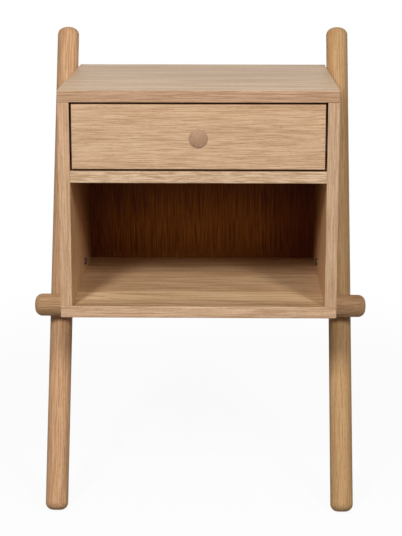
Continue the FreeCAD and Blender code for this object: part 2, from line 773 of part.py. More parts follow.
def slide_outer(side):
    inward = -side
    body = channel(SIDE_NAMES[side] + "_slide_outer", inward, "0", "outer_tip", "slide_half",
                   "middle_half + 2 * run_gap")
    holes = drill(body, "YZ_Plane", "0", [("slide_inset", "0")], "screw_hole", "slide_steel + run_gap",
                  inward > 0)
    repeat(body, holes, "Y_Axis", "box_depth - 2 * slide_inset", SCREWS_IN_A_ROW)
    return set_slide(body, side)


def slide_middle(side):
    body = channel(SIDE_NAMES[side] + "_slide_middle", -side, "middle_web", "middle_tip", "middle_half",
                   "inner_half + run_gap")
    return set_slide(body, side)


def slide_inner(side):
    """Screwed to the drawer box, with its flanges reaching back into the middle member."""
    inward = -side
    flange = "inner_half - slide_steel"
    body = rolled(SIDE_NAMES[side] + "_slide_inner", inward,
                  [("slide_thick", "inner_half"), ("inner_tip", "inner_half"),
                   ("inner_tip", flange), ("slide_thick - slide_steel", flange)])
    holes = drill(body, "YZ_Plane", f"{inward} * (slide_thick - slide_steel - run_gap)",
                  [("box_screw_inset", "0")], "screw_hole", "slide_steel + 2 * run_gap", inward > 0)
    repeat(body, holes, "Y_Axis", "box_depth - 2 * box_screw_inset", SCREWS_IN_A_ROW)
    return set_slide(body, side)


def retainer(side, row_name):
    """Two strips, over and under the slide, that space one set of balls."""
    inward = -side
    near, far, height = BALL_ROWS[row_name]
    body = new_body(f"{SIDE_NAMES[side]}_{row_name}_retainer")
    for lift in (f"{height} - strip_sheet / 2", f"-{height} - strip_sheet / 2"):
        sketch = sketch_on(body, "XY_Plane", lift)
        outline(sketch, rectangle(f"{inward} * {near}", "retainer_start", f"{inward} * {far}",
                                  "retainer_start + retainer_length"))
        pad(body, sketch, "strip_sheet")
    middle = f"{inward} * ({near} + {far}) / 2"
    holes = drill(body, "XY_Plane", f"{height} + strip_sheet", [(middle, "retainer_start + ball_inset")],
                  "ball + 2 * ball_gap", f"2 * ({height} + strip_sheet)", False)
    repeat(body, holes, "Y_Axis", "retainer_length - 2 * ball_inset", BALLS_IN_A_ROW)
    return set_slide(body, side)


def balls(side, row_name, ball):
    near, far, height = BALL_ROWS[row_name]
    x = f"{side} * (inner_x - ({near} + {far}) / 2)"
    row = in_a_row("retainer_start + ball_inset", "retainer_length - 2 * ball_inset", BALLS_IN_A_ROW)
    return group(f"{SIDE_NAMES[side]}_{row_name}_balls", ball,
                 [(x, f"box_front_y + {y}", f"slide_z + {z}", UPRIGHT)
                  for z in both_signs(height) for y in row])


def slide_screws():
    for label, length, seat, into, inset in (
            ("slide_case_screws", "case_screw_length", "inner_x - slide_steel", 1, "slide_inset"),
            ("slide_box_screws", "box_screw_length", "box_half + slide_steel", -1, "box_screw_inset")):
        screw = screw_master(label + "_blank", "screw", length, "slide_head", "slide_rise", "screw_point")
        row = in_a_row(f"box_front_y + {inset}", f"box_depth - 2 * {inset}", SCREWS_IN_A_ROW)
        group(label, screw, [(f"{side} * ({seat})", y, "slide_z", SCREWED_TOWARDS_X[side * into])
                             for side in (LEFT, RIGHT) for y in row])


def slides():
    ball = doc.addObject("Part::Sphere", "slide_ball")
    bind(ball, "Radius", "ball / 2")
    for side in (LEFT, RIGHT):
        slide_outer(side)
        slide_middle(side)
        slide_inner(side)
        for row_name in ("outer", "inner"):
            retainer(side, row_name)
            balls(side, row_name, ball)
    slide_screws()


# Checks and files

def check_model():
    for thing in doc.Objects:
        if "Invalid" in thing.State or "Error" in thing.State:
            raise RuntimeError(f"{thing.Name} did not rebuild: {thing.State}")
        if thing.isDerivedFrom("PartDesign::Pocket"):
            if thing.Shape.Volume > thing.BaseFeature.Shape.Volume - TINY:
                owner = thing.getParentGeoFeatureGroup()
                raise RuntimeError(f"{thing.Name} in {owner.Name} cuts nothing")
    for node in nodes:
        if node.Shape.isNull() or not node.Shape.isValid():
            raise RuntimeError(f"{node.Label} has no valid shape")


def write_files():
    os.makedirs("parts", exist_ok=True)
    for node in nodes:
        node.Shape.exportStep(f"parts/{node.Label}.step")
        bounds = node.Shape.BoundBox
        print(f"{node.Label}: {len(node.Shape.Solids)} solid(s), {node.Shape.Volume / 1000:.2f} cm3, "
              f"x {bounds.XMin:.1f} to {bounds.XMax:.1f}, y {bounds.YMin:.1f} to {bounds.YMax:.1f}, "
              f"z {bounds.ZMin:.1f} to {bounds.ZMax:.1f}")


case_panel("top_panel", "bay_top_z", "0", True)
case_panel("bottom_panel", "under_z", "board", False)
side_panel(LEFT)
side_panel(RIGHT)
mid_panel()
back_panel()
wall_rail()
pole(LEFT)
pole(RIGHT)
cross_bar()
case_dowels()
pole_fasteners()
bar_fasteners()
drawer_front()
drawer_box_front()
box_end("drawer_back", "box_front_y + box_depth - box_board", "0", False)
drawer_side(LEFT)
drawer_side(RIGHT)
drawer_bottom()
drawer_dowels()
drawer_knob()
drawer_fasteners()
slides()
doc.recompute()
check_model()
write_files()
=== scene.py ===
import math

import bmesh
import bpy
from mathutils import Euler, Matrix, Vector


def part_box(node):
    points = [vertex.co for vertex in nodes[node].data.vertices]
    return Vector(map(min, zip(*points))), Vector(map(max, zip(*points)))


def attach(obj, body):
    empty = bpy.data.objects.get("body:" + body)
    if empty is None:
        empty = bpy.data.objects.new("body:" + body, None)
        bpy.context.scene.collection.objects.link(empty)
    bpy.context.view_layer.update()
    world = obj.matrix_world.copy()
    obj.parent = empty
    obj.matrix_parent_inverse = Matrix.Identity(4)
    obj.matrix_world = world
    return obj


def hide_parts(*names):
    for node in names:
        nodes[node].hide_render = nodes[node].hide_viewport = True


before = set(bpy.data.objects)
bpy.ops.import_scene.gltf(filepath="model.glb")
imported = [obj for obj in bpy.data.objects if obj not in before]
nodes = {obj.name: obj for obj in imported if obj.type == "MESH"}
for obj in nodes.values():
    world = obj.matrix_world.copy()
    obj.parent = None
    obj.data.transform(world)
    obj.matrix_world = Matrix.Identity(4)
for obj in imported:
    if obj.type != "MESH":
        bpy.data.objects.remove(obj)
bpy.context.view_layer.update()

# Camera.  It stands about two and a half metres in front of the cabinet, a little right of
# its middle and above its top, and looks slightly down.
IMAGE_LONG_SIDE = 536
FOCAL_LENGTH_PIXELS = 1602
SENSOR_WIDTH = 36
CAMERA_PLACE = (0.0448, -2.5603, 0.9504)
CAMERA_TURN_DEGREES = (90 - 12.7945, 0, 0.9867)


def plain_mesh(name, points, edges=(), faces=()):
    mesh = bpy.data.meshes.new(name)
    mesh.from_pydata(points, edges, faces)
    return mesh


def put(name, data):
    """A new object in the scene."""
    made = bpy.data.objects.new(name, data)
    bpy.context.collection.objects.link(made)
    return made


camera_data = bpy.data.cameras.new("camera")
camera_data.sensor_width = SENSOR_WIDTH
camera_data.lens = SENSOR_WIDTH * FOCAL_LENGTH_PIXELS / IMAGE_LONG_SIDE
camera = put("camera", camera_data)
camera.location = CAMERA_PLACE
camera.rotation_euler = Euler([math.radians(degrees) for degrees in CAMERA_TURN_DEGREES])
bpy.context.scene.camera = camera
bpy.context.scene.view_settings.view_transform = "Standard"

# Floor and light.  A white studio floor, a soft lamp before the cabinet on the left and one
# on the right, both well above it, a weak wide one behind it, and a dim room all round.
SQUARE = ((-1, -1), (1, -1), (1, 1), (-1, 1))
FLOOR_HALF = 30
FLOOR_COLOUR = (0.22, 0.22, 0.22, 1)
FLOOR_SHADE_SHARE = 0.06
FLOOR_SHADE_RADII = (1.6, 0.5)
ROOM_LIGHT = 0.11
LAMP_AIM = Vector((0, 0, 0.45))
# Each lamp: its degrees round from the front and up, its distance, width, height and watts.
LAMPS = {
    "left_lamp": (-19, 34.4, 3.4, 0.42, 0.92, 65),
    "right_lamp": (25.5, 32.6, 3.4, 0.42, 0.92, 45),
    "rear_lamp": (170, -3, 3.2, 2, 0.5, 14),
}


class Signal:
    """A socket on its way through a node tree; sums and products of it add Math nodes."""

    def __init__(self, tree, socket=None):
        self.tree = tree
        self.socket = socket

    def node(self, kind, inputs=None, output=0, **settings):
        """One more node: its settings first, then the values or the links of its sockets."""
        made = self.tree.nodes.new(kind)
        for setting, chosen in settings.items():
            setattr(made, setting, chosen)
        for place, fed in (inputs or {}).items():
            if isinstance(fed, Signal):
                self.tree.links.new(fed.socket, made.inputs[place])
            else:
                made.inputs[place].default_value = fed
        return Signal(self.tree, made.outputs[output] if made.outputs else None)

    def maths(self, operation, *fed):
        return self.node("ShaderNodeMath", dict(enumerate(fed)), operation=operation)

    def __add__(self, other):
        return self.maths("ADD", self, other)

    __radd__ = __add__

    def __sub__(self, other):
        return self.maths("SUBTRACT", self, other)

    def __rsub__(self, other):
        return self.maths("SUBTRACT", other, self)

    def __mul__(self, other):
        return self.maths("MULTIPLY", self, other)

    __rmul__ = __mul__

    def __truediv__(self, other):
        return self.maths("DIVIDE", self, other)

    def __rtruediv__(self, other):
        return self.maths("DIVIDE", other, self)

    def __gt__(self, other):
        return self.maths("GREATER_THAN", self, other)

    def __abs__(self):
        return self.maths("ABSOLUTE", self)


def new_tree(owner):
    """An empty node tree on a material or on the world, and a signal to start from."""
    owner.use_nodes = True
    owner.node_tree.nodes.clear()
    return Signal(owner.node_tree)


def new_material(name):
    """A new material and the signal its tree starts from."""
    made = bpy.data.materials.new(name)
    return made, new_tree(made)


def object_place(start, scale=None):
    """The place in the piece's own metres, or times the scale."""
    place = start.node("ShaderNodeTexCoord", output="Object")
    if scale:
        place = start.node("ShaderNodeVectorMath", {0: place, "Scale": scale}, operation="SCALE")
    return place


def rise(signal, low, high):
    """0 up to low and 1 from high on, smooth between them; low may be the larger."""
    return signal.node("ShaderNodeMapRange", {"Value": signal, "From Min": low, "From Max": high},
                       interpolation_type="SMOOTHSTEP")


def end_in_two(start, output, lit, seen):
    """One surface lights the scene; the camera, a gloss or a glass sees the other."""
    camera_ray, glossy_ray, clear_ray = (
        start.node("ShaderNodeLightPath", output=ray)
        for ray in ("Is Camera Ray", "Is Glossy Ray", "Is Transmission Ray"))
    direct = start.maths("MAXIMUM", camera_ray, start.maths("MAXIMUM", glossy_ray, clear_ray))
    start.node(output, {"Surface": start.node("ShaderNodeMixShader", {0: direct, 1: lit, 2: seen})})


floor_mesh = plain_mesh("floor", [(x * FLOOR_HALF, y * FLOOR_HALF, 0) for x, y in SQUARE],
                        faces=[(0, 1, 2, 3)])
floor_material, start = new_material("studio_floor")
matt = start.node("ShaderNodeBsdfDiffuse", {"Color": FLOOR_COLOUR})
glow = start.node("ShaderNodeEmission", {"Color": (1, 1, 1, 1), "Strength": 1})
shaded = start.node("ShaderNodeBsdfDiffuse", {"Color": (1, 1, 1, 1)})
distance = start.node("ShaderNodeVectorMath", {0: object_place(start)}, output=1, operation="LENGTH")
near = rise(distance, *FLOOR_SHADE_RADII) * FLOOR_SHADE_SHARE
white = start.node("ShaderNodeMixShader", {0: near, 1: glow, 2: shaded})
end_in_two(start, "ShaderNodeOutputMaterial", matt, white)
floor_mesh.materials.append(floor_material)
floor = put("floor", floor_mesh)

world = bpy.data.worlds.new("room")
bpy.context.scene.world = world
start = new_tree(world)
dim = start.node("ShaderNodeBackground", {"Color": (1, 1, 1, 1), "Strength": ROOM_LIGHT})
white = start.node("ShaderNodeBackground", {"Color": (1, 1, 1, 1), "Strength": 1})
end_in_two(start, "ShaderNodeOutputWorld", dim, white)

for lamp_name, (azimuth, elevation, distance, width, height, watts) in LAMPS.items():
    lamp_data = bpy.data.lights.new(lamp_name, "AREA")
    lamp_data.shape = "RECTANGLE"
    lamp_data.size, lamp_data.size_y, lamp_data.energy = width, height, watts
    azimuth, elevation = math.radians(azimuth), math.radians(elevation)
    away = Vector((math.sin(azimuth) * math.cos(elevation), -math.cos(azimuth) * math.cos(elevation),
                   math.sin(elevation)))
    lamp_object = put(lamp_name, lamp_data)
    lamp_object.location = LAMP_AIM + away * distance
    lamp_object.rotation_euler = away.to_track_quat("Z", "Y").to_euler()

# Case boards and drawer front.  18 mm boards faced with oak veneer, with strips of the same
# oak on their edges, a little eased by hand and finished with a matt clear oil.
MM = 1000
OAK_LIGHT = (220, 184, 149)
OAK_DARK = (183, 142, 106)
OAK_PORE = (128, 92, 62)
OAK_IOR = 1.45
X, Y, Z = 0, 1, 2
# A surface faces a way if it looks at least so straight that way.
FACING = 0.7
# How far each strip's wood lies off its face's, and one board's wood off another's.
STRIP_SHIFT = (211, 53, 340)
END_STRIP_SHIFT = (97, 149, 520)
BOARD_SHIFT = 37

front_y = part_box("drawer_front")[0].y
wall_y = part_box("wall_rail")[1].y
top_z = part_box("top_panel")[1].z
end_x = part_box("top_panel")[1].x

# Each board: the way its grain runs, the way its wide faces look, the place of the tree's
# middle beside and behind the face, how fast the rings run out of it, their width, a shift,
# the streaks of its faces and of its edge strips (how wide, long and strong), the strips' tint.
BOARD_FIELDS = ("along", "face", "pith", "taper", "ring", "seed", "streaks", "strip_streaks", "strip")
BOARD_CUTS = {
    "top_panel": (
        X, Z, (-330, -150), 0.03, 3.4, 1.3, (9, 200, 0.6), (1.2, 60, 1), (0.82, 0.78, 0.77, 1)),
    "bottom_panel": (
        X, Z, (-120, -60), 0.05, 3.8, 2.7, (6, 110, 0.7), (1.3, 56, 0.95), (1.01, 1, 1.02, 1)),
    "mid_panel": (
        X, Z, (-200, -60), 0.05, 3.2, 4.1, (4, 60, 0.45), (1.4, 34, 2.2), (1.02, 1.09, 1.14, 1)),
    "left_side_panel": (
        Z, X, (-260, -80), 0.04, 3.3, 5.6, (3, 50, 0.45), (1.4, 50, 0.65), (1.01, 0.99, 0.98, 1)),
    "right_side_panel": (
        Z, X, (-220, 90), -0.04, 3.1, 6.2, (3, 50, 0.45), (1.4, 50, 0.65), (0.94, 0.95, 0.97, 1)),
    "wall_rail": (
        X, Y, (40, -70), 0.05, 3.6, 7.9, (3, 40, 0.45), (2.4, 30, 0.5), (1, 1, 1, 1)),
    # The drawer front's edge strips are painted dark: painted shade standing in for the dark gaps round the
    # drawer.
    "drawer_front": (
        X, Y, (520, -95), 0.06, 3.2, 9.4, (0.95, 42, 0.75), (1.6, 30, 0.5), (0.5, 0.42, 0.36, 1)),
}
# The top's upper face and the faces that look into the open bay, with painted light and shade:
# which way they look, and the tint their colour is multiplied by.  The top's upper face, the
# bay's sides and the shelf are painted lighter, standing in for sheen and for light bounced
# round the bay; the middle board's underside is painted darker, standing in for shade.
PAINTED_FACE_LIGHT = {
    "top_panel": (1, (1.06, 1.1, 1.06, 1)),
    "bottom_panel": (1, (1.1, 1.12, 1.04, 1)),
    "left_side_panel": (1, (1.14, 1.1, 0.98, 1)),
    "right_side_panel": (-1, (1.14, 1.1, 0.98, 1)),
    "mid_panel": (-1, (0.7, 0.65, 0.6, 1)),
}
# The bands of the shelf's upper veneer that differ: partly leaves of the veneer, partly painted
# light and painted shade, the lighter band from 205 mm standing in for lamp light that reaches
# deep into the bay and the darker one behind it for shade at the back.  Each band: from how many
# millimetres behind the front, to where, and how much lighter or darker.
SHELF_LEAVES_AND_PAINTED_LIGHT = [(-5, 21, (0.82, 0.8, 0.78, 1)), (42, 100, (1.22, 1.27, 1.3, 1)),
                (205, 280, (1.2, 1.18, 1.15, 1)), (280, 370, (0.95, 0.88, 0.78, 1))]
BAND_BEGINS_OVER, BAND_ENDS_OVER = 2, 3
# The bay's sides carry painted shade, darker towards the back and the top where shade falls in
# the bay: as the height and a share of the depth together go from the first number of
# millimetres to the second.
PAINTED_BAY_SHADE = (0.3, 0.22, 0.14, 1)
PAINTED_BAY_SHADE_DEPTH_SHARE = 0.65
PAINTED_BAY_SHADE_FROM_TO = (530, 645)
# The wood's yellower streaks are its colour times this one.
YELLOWISH = (0.985, 1.01, 0.97, 1)


def screen(red, green, blue):
    """A colour given as it looks on a screen, each part from 0 to 255."""
    return (*(part / 12.92 if part <= 0.04045 else ((part + 0.055) / 1.055) ** 2.4
              for part in (red / 255, green / 255, blue / 255)), 1)


def split(point):
    parted = point.node("ShaderNodeSeparateXYZ", {0: point})
    return [Signal(point.tree, parted.socket.node.outputs[axis]) for axis in (X, Y, Z)]


def join(x, y, z):
    return x.node("ShaderNodeCombineXYZ", {0: x, 1: y, 2: z})


def blend(share, first, second, kind="MIX"):
    """The first colour where the share is 0, and where it is 1 the second or their product."""
    return share.node("ShaderNodeMix", {0: share, 6: first, 7: second}, output=2, data_type="RGBA",
                      blend_type=kind)


def blend_places(share, first, second):
    return share.node("ShaderNodeMix", {0: share, 4: first, 5: second}, output=1, data_type="VECTOR")


def noise(point, blot, length, detail=2):
    """Noise about 0 with blots of that width, drawn out to that length along the grain."""
    stretched = point.node("ShaderNodeVectorMath", {0: point, 1: (1 / blot, 1 / blot, 1 / length)},
                           operation="MULTIPLY")
    return point.node("ShaderNodeTexNoise", {"Vector": stretched, "Scale": 1, "Detail": detail}) - 0.5


def board_axes(start, along, face):
    """The place in millimetres and how straight the surface looks, each way; the third axis."""
    looks = split(start.node("ShaderNodeTexCoord", output="Normal"))
    return split(object_place(start, MM)), looks, X + Y + Z - along - face


def board_point(start, along, face, shift):
    """Across the grain, through the board and along it in millimetres; 1 on a strip, else 0;
    and how straight the surface looks the way of the board's face."""
    place, looks, third = board_axes(start, along, face)
    wide_face = join(place[third] + shift, place[face], place[along])
    long_edge = join(place[face] + STRIP_SHIFT[0], place[third] * 0.3 + STRIP_SHIFT[1],
                     place[along] + STRIP_SHIFT[2])
    short_edge = join(place[face] + END_STRIP_SHIFT[0], place[along] * 0.3 + END_STRIP_SHIFT[1],
                      place[third] + END_STRIP_SHIFT[2])
    on_long, on_short = abs(looks[third]) > FACING, abs(looks[along]) > FACING
    point = blend_places(on_short, blend_places(on_long, wide_face, long_edge), short_edge)
    return point, on_long.maths("MAXIMUM", on_long, on_short), looks[face]


def streaked(point, wide, long, strong):
    return (rise(noise(point, wide, long), -0.13, 0.13) - 0.5) * strong


def oak_grain(point, cut, on_strip=None):
    """How dark the wood is, how open its pores are, how flecked and how yellow, about 0 to 1."""
    across, through, along = split(point)
    bent = across + noise(point, 70, 420, 1) * 20 + noise(point, 8, 40) * 2.4
    out = through + along * cut["taper"] + noise(point, 90, 260, 1) * 10 - cut["pith"][1]
    beside = bent - cut["pith"][0]
    squares = beside * beside + out * out
    radius = squares.maths("SQRT", squares)
    years = radius / cut["ring"] + cut["seed"]
    uneven = years.node("ShaderNodeTexNoise", {"W": years * 0.23, "Scale": 1, "Detail": 1},
                        noise_dimensions="1D") - 0.5
    years = years + uneven * 2.6
    part_of_year = years.maths("FRACT", years)
    year = years.maths("FLOOR", years)
    year_tone = years.node("ShaderNodeTexWhiteNoise", {"W": year}, noise_dimensions="1D") - 0.5
    spring = rise(part_of_year, 0, 0.08) * rise(part_of_year, 0.55, 0.14)
    dashes = rise(noise(point, 1.1, 13, 3), 0.02, 0.16)
    open_pores = rise(noise(point, 0.42, 7, 1), 0.06, 0.17) * (spring * 0.8 + 0.2)
    wavy = join(across + noise(point, 30, 70) * 6, through, along)
    streaks = streaked(wavy, *cut["streaks"])
    if on_strip:
        streaks = streaks * (1 - on_strip) + streaked(wavy, *cut["strip_streaks"]) * on_strip
    bands = noise(point, 60, 300, 1) * 0.25 + noise(point, 5, 240, 1) * 0.3 + noise(wavy, 1.1, 42) * 0.7
    shade = 0.45 + spring * 0.13 + year_tone * 0.12 + dashes * (spring * 0.25 + 0.12) + streaks + bands
    return shade, open_pores, dashes, rise(noise(wavy, 6, 90, 1), -0.2, 0.4)


def clear_oil(start, colour, rough, height, depth=0.00012, gloss=0.5):
    """The oiled surface over a wood's colour; what is open or rough goes down by the depth."""
    bump = start.node("ShaderNodeBump", {"Strength": 0.6, "Distance": depth, "Height": height})
    skin = start.node("ShaderNodeBsdfPrincipled", {
        "Base Color": colour, "Roughness": rough, "IOR": OAK_IOR, "Normal": bump,
        "Specular IOR Level": gloss})
    start.node("ShaderNodeOutputMaterial", {"Surface": skin})


def oak_finish(start, point, cut, light=OAK_LIGHT, dark=OAK_DARK, tints=(), on_strip=None,
               rough=0.44, gloss=0.5):
    """Oak between its light and its dark tone; each tint has the share of the surface it is on."""
    shade, pores, dashes, yellow = oak_grain(point, cut, on_strip)
    colour = blend(shade, screen(*light), screen(*dark))
    colour = blend(yellow, colour, YELLOWISH, "MULTIPLY")
    for share, tint in tints:
        colour = blend(share, colour, tint, "MULTIPLY")
    colour = blend(pores * 0.6, colour, screen(*OAK_PORE))
    clear_oil(start, colour, rough + pores * 0.25 + dashes * 0.06, 1 - pores - dashes * 0.3, gloss=gloss)


for node_name, values in BOARD_CUTS.items():
    cut = dict(zip(BOARD_FIELDS, values))
    oak, start = new_material("oak_" + node_name)
    point, on_strip, face_looks = board_point(start, cut["along"], cut["face"], cut["seed"] * BOARD_SHIFT)
    tints = [(on_strip, cut["strip"])]
    if node_name in PAINTED_FACE_LIGHT:
        inward, painted_face_tone = PAINTED_FACE_LIGHT[node_name]
        # Painted light and shade on the face that looks up or into the bay.
        inside = face_looks * inward > FACING
        tints.append((inside, painted_face_tone))
        _, through, up = split(object_place(start))
        deep = (through - front_y) * MM
        if node_name == "bottom_panel":
            # Bands of the shelf, partly veneer leaves and partly painted light and shade.
            for begin, end, tone in SHELF_LEAVES_AND_PAINTED_LIGHT:
                shelf_band = rise(deep, begin - BAND_BEGINS_OVER, begin + BAND_BEGINS_OVER)
                shelf_band = shelf_band * rise(deep, end + BAND_ENDS_OVER, end - BAND_ENDS_OVER)
                tints.append((inside * shelf_band, tone))
        elif cut["along"] == Z:
            # Painted shade, deeper towards the back and the top of the bay.
            bay_shade = rise(deep * PAINTED_BAY_SHADE_DEPTH_SHARE + up * MM, *PAINTED_BAY_SHADE_FROM_TO)
            tints.append((inside * bay_shade, PAINTED_BAY_SHADE))
    oak_finish(start, point, cut, tints=tints, on_strip=on_strip)
    nodes[node_name].data.materials[0] = oak

# Back sheet.  A thin plywood sheet let into grooves all round.  Its front has an oak veneer with
# the grain upright, painted dark as painted shade for the deep bay, and its rear a plain pale one.
SHADED_SHEET_LIGHT = (184, 124, 46)
SHADED_SHEET_DARK = (122, 64, 21)
SHEET_CUT = {"pith": (-150, -120), "taper": 0.03, "ring": 4.2, "seed": 3.3, "streaks": (1.15, 60, 0.8)}
SHEET_SHIFT = 60
# Painted shade on the veneer: it is brightest on an upright line, and darker to both sides of it
# and towards the top, where shade falls in the bay; each change comes between two distances in
# metres.
SHEET_SIDES_SHADE = (0.53, 0.31, 0.36, 1)
SHEET_LEAST_SHADE_X = -0.015
SHEET_SIDES_SHADE_OVER = (0.07, 0.2)
SHEET_TOP_SHADE = (0.48, 0.4, 0.38, 1)
SHEET_TOP_SHADE_OVER = (0.4, 0.49)
back_oak, start = new_material("oak_back_panel")
point, _, face_looks = board_point(start, Z, Y, SHEET_SHIFT)
shade, pores, dashes, _ = oak_grain(point, SHEET_CUT)
across, _, up = split(object_place(start))
# The front's dark tones are painted shade.
shaded_front_colour = blend(shade, screen(*SHADED_SHEET_LIGHT), screen(*SHADED_SHEET_DARK))
# Painted shade towards both sides and the top of the sheet.
shaded_front_colour = blend(rise(abs(across - SHEET_LEAST_SHADE_X), *SHEET_SIDES_SHADE_OVER), shaded_front_colour, SHEET_SIDES_SHADE,
                     "MULTIPLY")
shaded_front_colour = blend(rise(up, *SHEET_TOP_SHADE_OVER), shaded_front_colour, SHEET_TOP_SHADE, "MULTIPLY")
rear_colour = blend(shade, screen(*OAK_LIGHT), screen(*OAK_DARK))
clear_oil(start, blend(face_looks > 0.5, shaded_front_colour, rear_colour), 0.6 + pores * 0.2,
          1 - pores - dashes * 0.3, gloss=0.2)
nodes["back_panel"].data.materials[0] = back_oak

# Poles and cross bar.  Solid oak dowel rod, 36 mm thick, with both ends rounded over on the
# lathe; the poles lean back against the wall and the bar lies across their front.
ROD_DIAMETER = 0.036
ROD_END_FLAT = 0.012
ROD_SEGMENTS = 96
ROD_END_RINGS = 14
ROD_BODY_RINGS = 40
POLE_LEAN = math.radians(24.2)
POLE_RISE = 0.062
POLE_BOLT_HEIGHTS = (0.64065, 0.375)
BOLT_CAP_HOLE = 0.0105
BOLT_CAP_SINK = 0.008
BOLT_HOLE = 0.0065
BOLT_HOLE_LENGTH = 0.04
INSERT_HOLE = 0.0101
INSERT_HOLE_DEPTH = 0.015
DRILL_OVER = 0.001
ROD_OIL = {"rough": 0.6, "gloss": 0.2}
POLE_CUTS = {
    "left_pole": {
        "pith": (-46, 30), "taper": 0.012, "ring": 2.6, "seed": 11.2, "streaks": (2, 56, 0.65),
        "tones": ((226, 181, 140), (186, 138, 98))},
    "right_pole": {
        # The right pole's tones are darker and more olive than the left's: partly its own wood, partly
        # painted shade standing in for the case's shadow on it.
        "pith": (-60, -38), "taper": -0.01, "ring": 3.1, "seed": 12.9, "streaks": (2, 56, 0.4),
        "tones": ((218, 177, 129), (176, 133, 87))},
}
BAR_CUT = {"pith": (34, -42), "taper": 0.012, "ring": 2.7, "seed": 15.1, "streaks": (1.5, 30, 0.6),
           "tones": ((221, 178, 136), (181, 135, 94))}


def tree_with_inputs(name, numbers):
    """A geometry tree with the named inputs, a start signal and the inputs' signals."""
    tree = bpy.data.node_groups.new(name, "GeometryNodeTree")
    tree.interface.new_socket("Geometry", in_out="OUTPUT", socket_type="NodeSocketGeometry")
    for input_name, kind in numbers.items():
        tree.interface.new_socket(input_name, in_out="INPUT", socket_type="NodeSocket" + kind)
    entry = tree.nodes.new("NodeGroupInput")
    return Signal(tree), {wanted: Signal(tree, entry.outputs[wanted]) for wanted in numbers}


def end_tree(start, geometry, material):
    """Real geometry in one material, out of the tree."""
    real = start.node("GeometryNodeRealizeInstances", {0: geometry})
    painted = start.node("GeometryNodeSetMaterial", {"Geometry": real, "Material": material})
    start.node("NodeGroupOutput", {"Geometry": painted})


def baked(maker):
    """The plain mesh that an object's modifiers make; the object goes."""
    shaped = maker.evaluated_get(bpy.context.evaluated_depsgraph_get())
    mesh = bpy.data.meshes.new_from_object(shaped)
    bpy.data.objects.remove(maker)
    return mesh


def grown(name, tree, settings, base=None):
    """A plain mesh from a geometry tree, with the settings given by their inputs' names."""
    maker = put(name, base or bpy.data.meshes.new(name))
    modifier = maker.modifiers.new("shape", "NODES")
    modifier.node_group = tree
    for item in tree.interface.items_tree:
        if item.in_out == "INPUT" and item.name in settings:
            given = settings[item.name]
            modifier[item.identifier] = float(given) if item.socket_type == "NodeSocketFloat" else given
    return baked(maker)


def turned_rod_tree(material):
    """Rings of growing distance up the rod: the ends follow a quarter circle."""
    start, given = tree_with_inputs("turned_rod", {
        "Length": "Float", "Diameter": "Float", "End Flat": "Float",
        "Segments": "Int", "End Rings": "Int", "Body Rings": "Int"})
    round_over = (given["Diameter"] - given["End Flat"]) / 2
    last = given["End Rings"] * 2 + given["Body Rings"]
    index = start.node("GeometryNodeInputIndex")
    from_end = start.maths("MINIMUM", index, last - index)
    turn = start.maths("MINIMUM", from_end / given["End Rings"], 1) * (math.pi / 2)
    body_step = (given["Length"] - round_over * 2) / given["Body Rings"]
    past_round = start.maths("MAXIMUM", from_end - given["End Rings"], 0)
    distance = round_over * (1 - start.maths("COSINE", turn)) + past_round * body_step
    upper = index > last / 2
    height = distance + upper * (given["Length"] - distance * 2)
    radius = given["End Flat"] / 2 + round_over * start.maths("SINE", turn)
    line = start.node("GeometryNodeCurvePrimitiveLine", {"End": (0, 0, 1)})
    line = start.node("GeometryNodeResampleCurve", {"Curve": line, "Count": last + 1})
    place = start.node("ShaderNodeCombineXYZ", {2: height})
    line = start.node("GeometryNodeSetPosition", {"Geometry": line, "Position": place})
    line = start.node("GeometryNodeSetCurveRadius", {"Curve": line, "Radius": radius})
    ring = start.node("GeometryNodeCurvePrimitiveCircle", {"Resolution": given["Segments"], "Radius": 1})
    skin = start.node("GeometryNodeCurveToMesh", {
        "Curve": line, "Profile Curve": ring, "Fill Caps": True, "Scale": radius})
    end_tree(start, skin, material)
    return start.tree


def smooth(mesh, sharp=35):
    """Smooth shading that keeps the edges that turn by more than so many degrees."""
    mesh.shade_smooth()
    mesh.set_sharp_from_angle(angle=math.radians(sharp))


def outward(mesh):
    """Doubles merged and faces turned outwards."""
    cleaner = bmesh.new()
    cleaner.from_mesh(mesh)
    bmesh.ops.remove_doubles(cleaner, verts=cleaner.verts, dist=1e-6)
    bmesh.ops.recalc_face_normals(cleaner, faces=cleaner.faces)
    cleaner.to_mesh(mesh)
    cleaner.free()


def bored(mesh, bores, name):
    """The mesh with round holes: each has a mouth, a direction, a diameter and a depth."""
    cutter = bmesh.new()
    for mouth, direction, diameter, depth in bores:
        turn = direction.to_track_quat("Z", "Y").to_matrix().to_4x4()
        place = Matrix.Translation(mouth + direction * depth / 2) @ turn
        bmesh.ops.create_cone(cutter, cap_ends=True, segments=48, radius1=diameter / 2,
                              radius2=diameter / 2, depth=depth, matrix=place)
    drill_mesh = bpy.data.meshes.new(name + "_drill")
    cutter.to_mesh(drill_mesh)
    cutter.free()
    drill = put(name + "_drill", drill_mesh)
    solid = put(name + "_solid", mesh)
    modifier = solid.modifiers.new("bores", "BOOLEAN")
    modifier.operation = "DIFFERENCE"
    modifier.solver = "EXACT"
    modifier.use_self = True
    modifier.object = drill
    result = baked(solid)
    bpy.data.objects.remove(drill)
    return result


def finished(name, mesh, body, slot, *replaced):
    """A finished piece: its mesh as it lies in the frame, its body and its nodes; the slot is not used."""
    piece = put(name, mesh)
    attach(piece, body)
    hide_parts(*replaced)


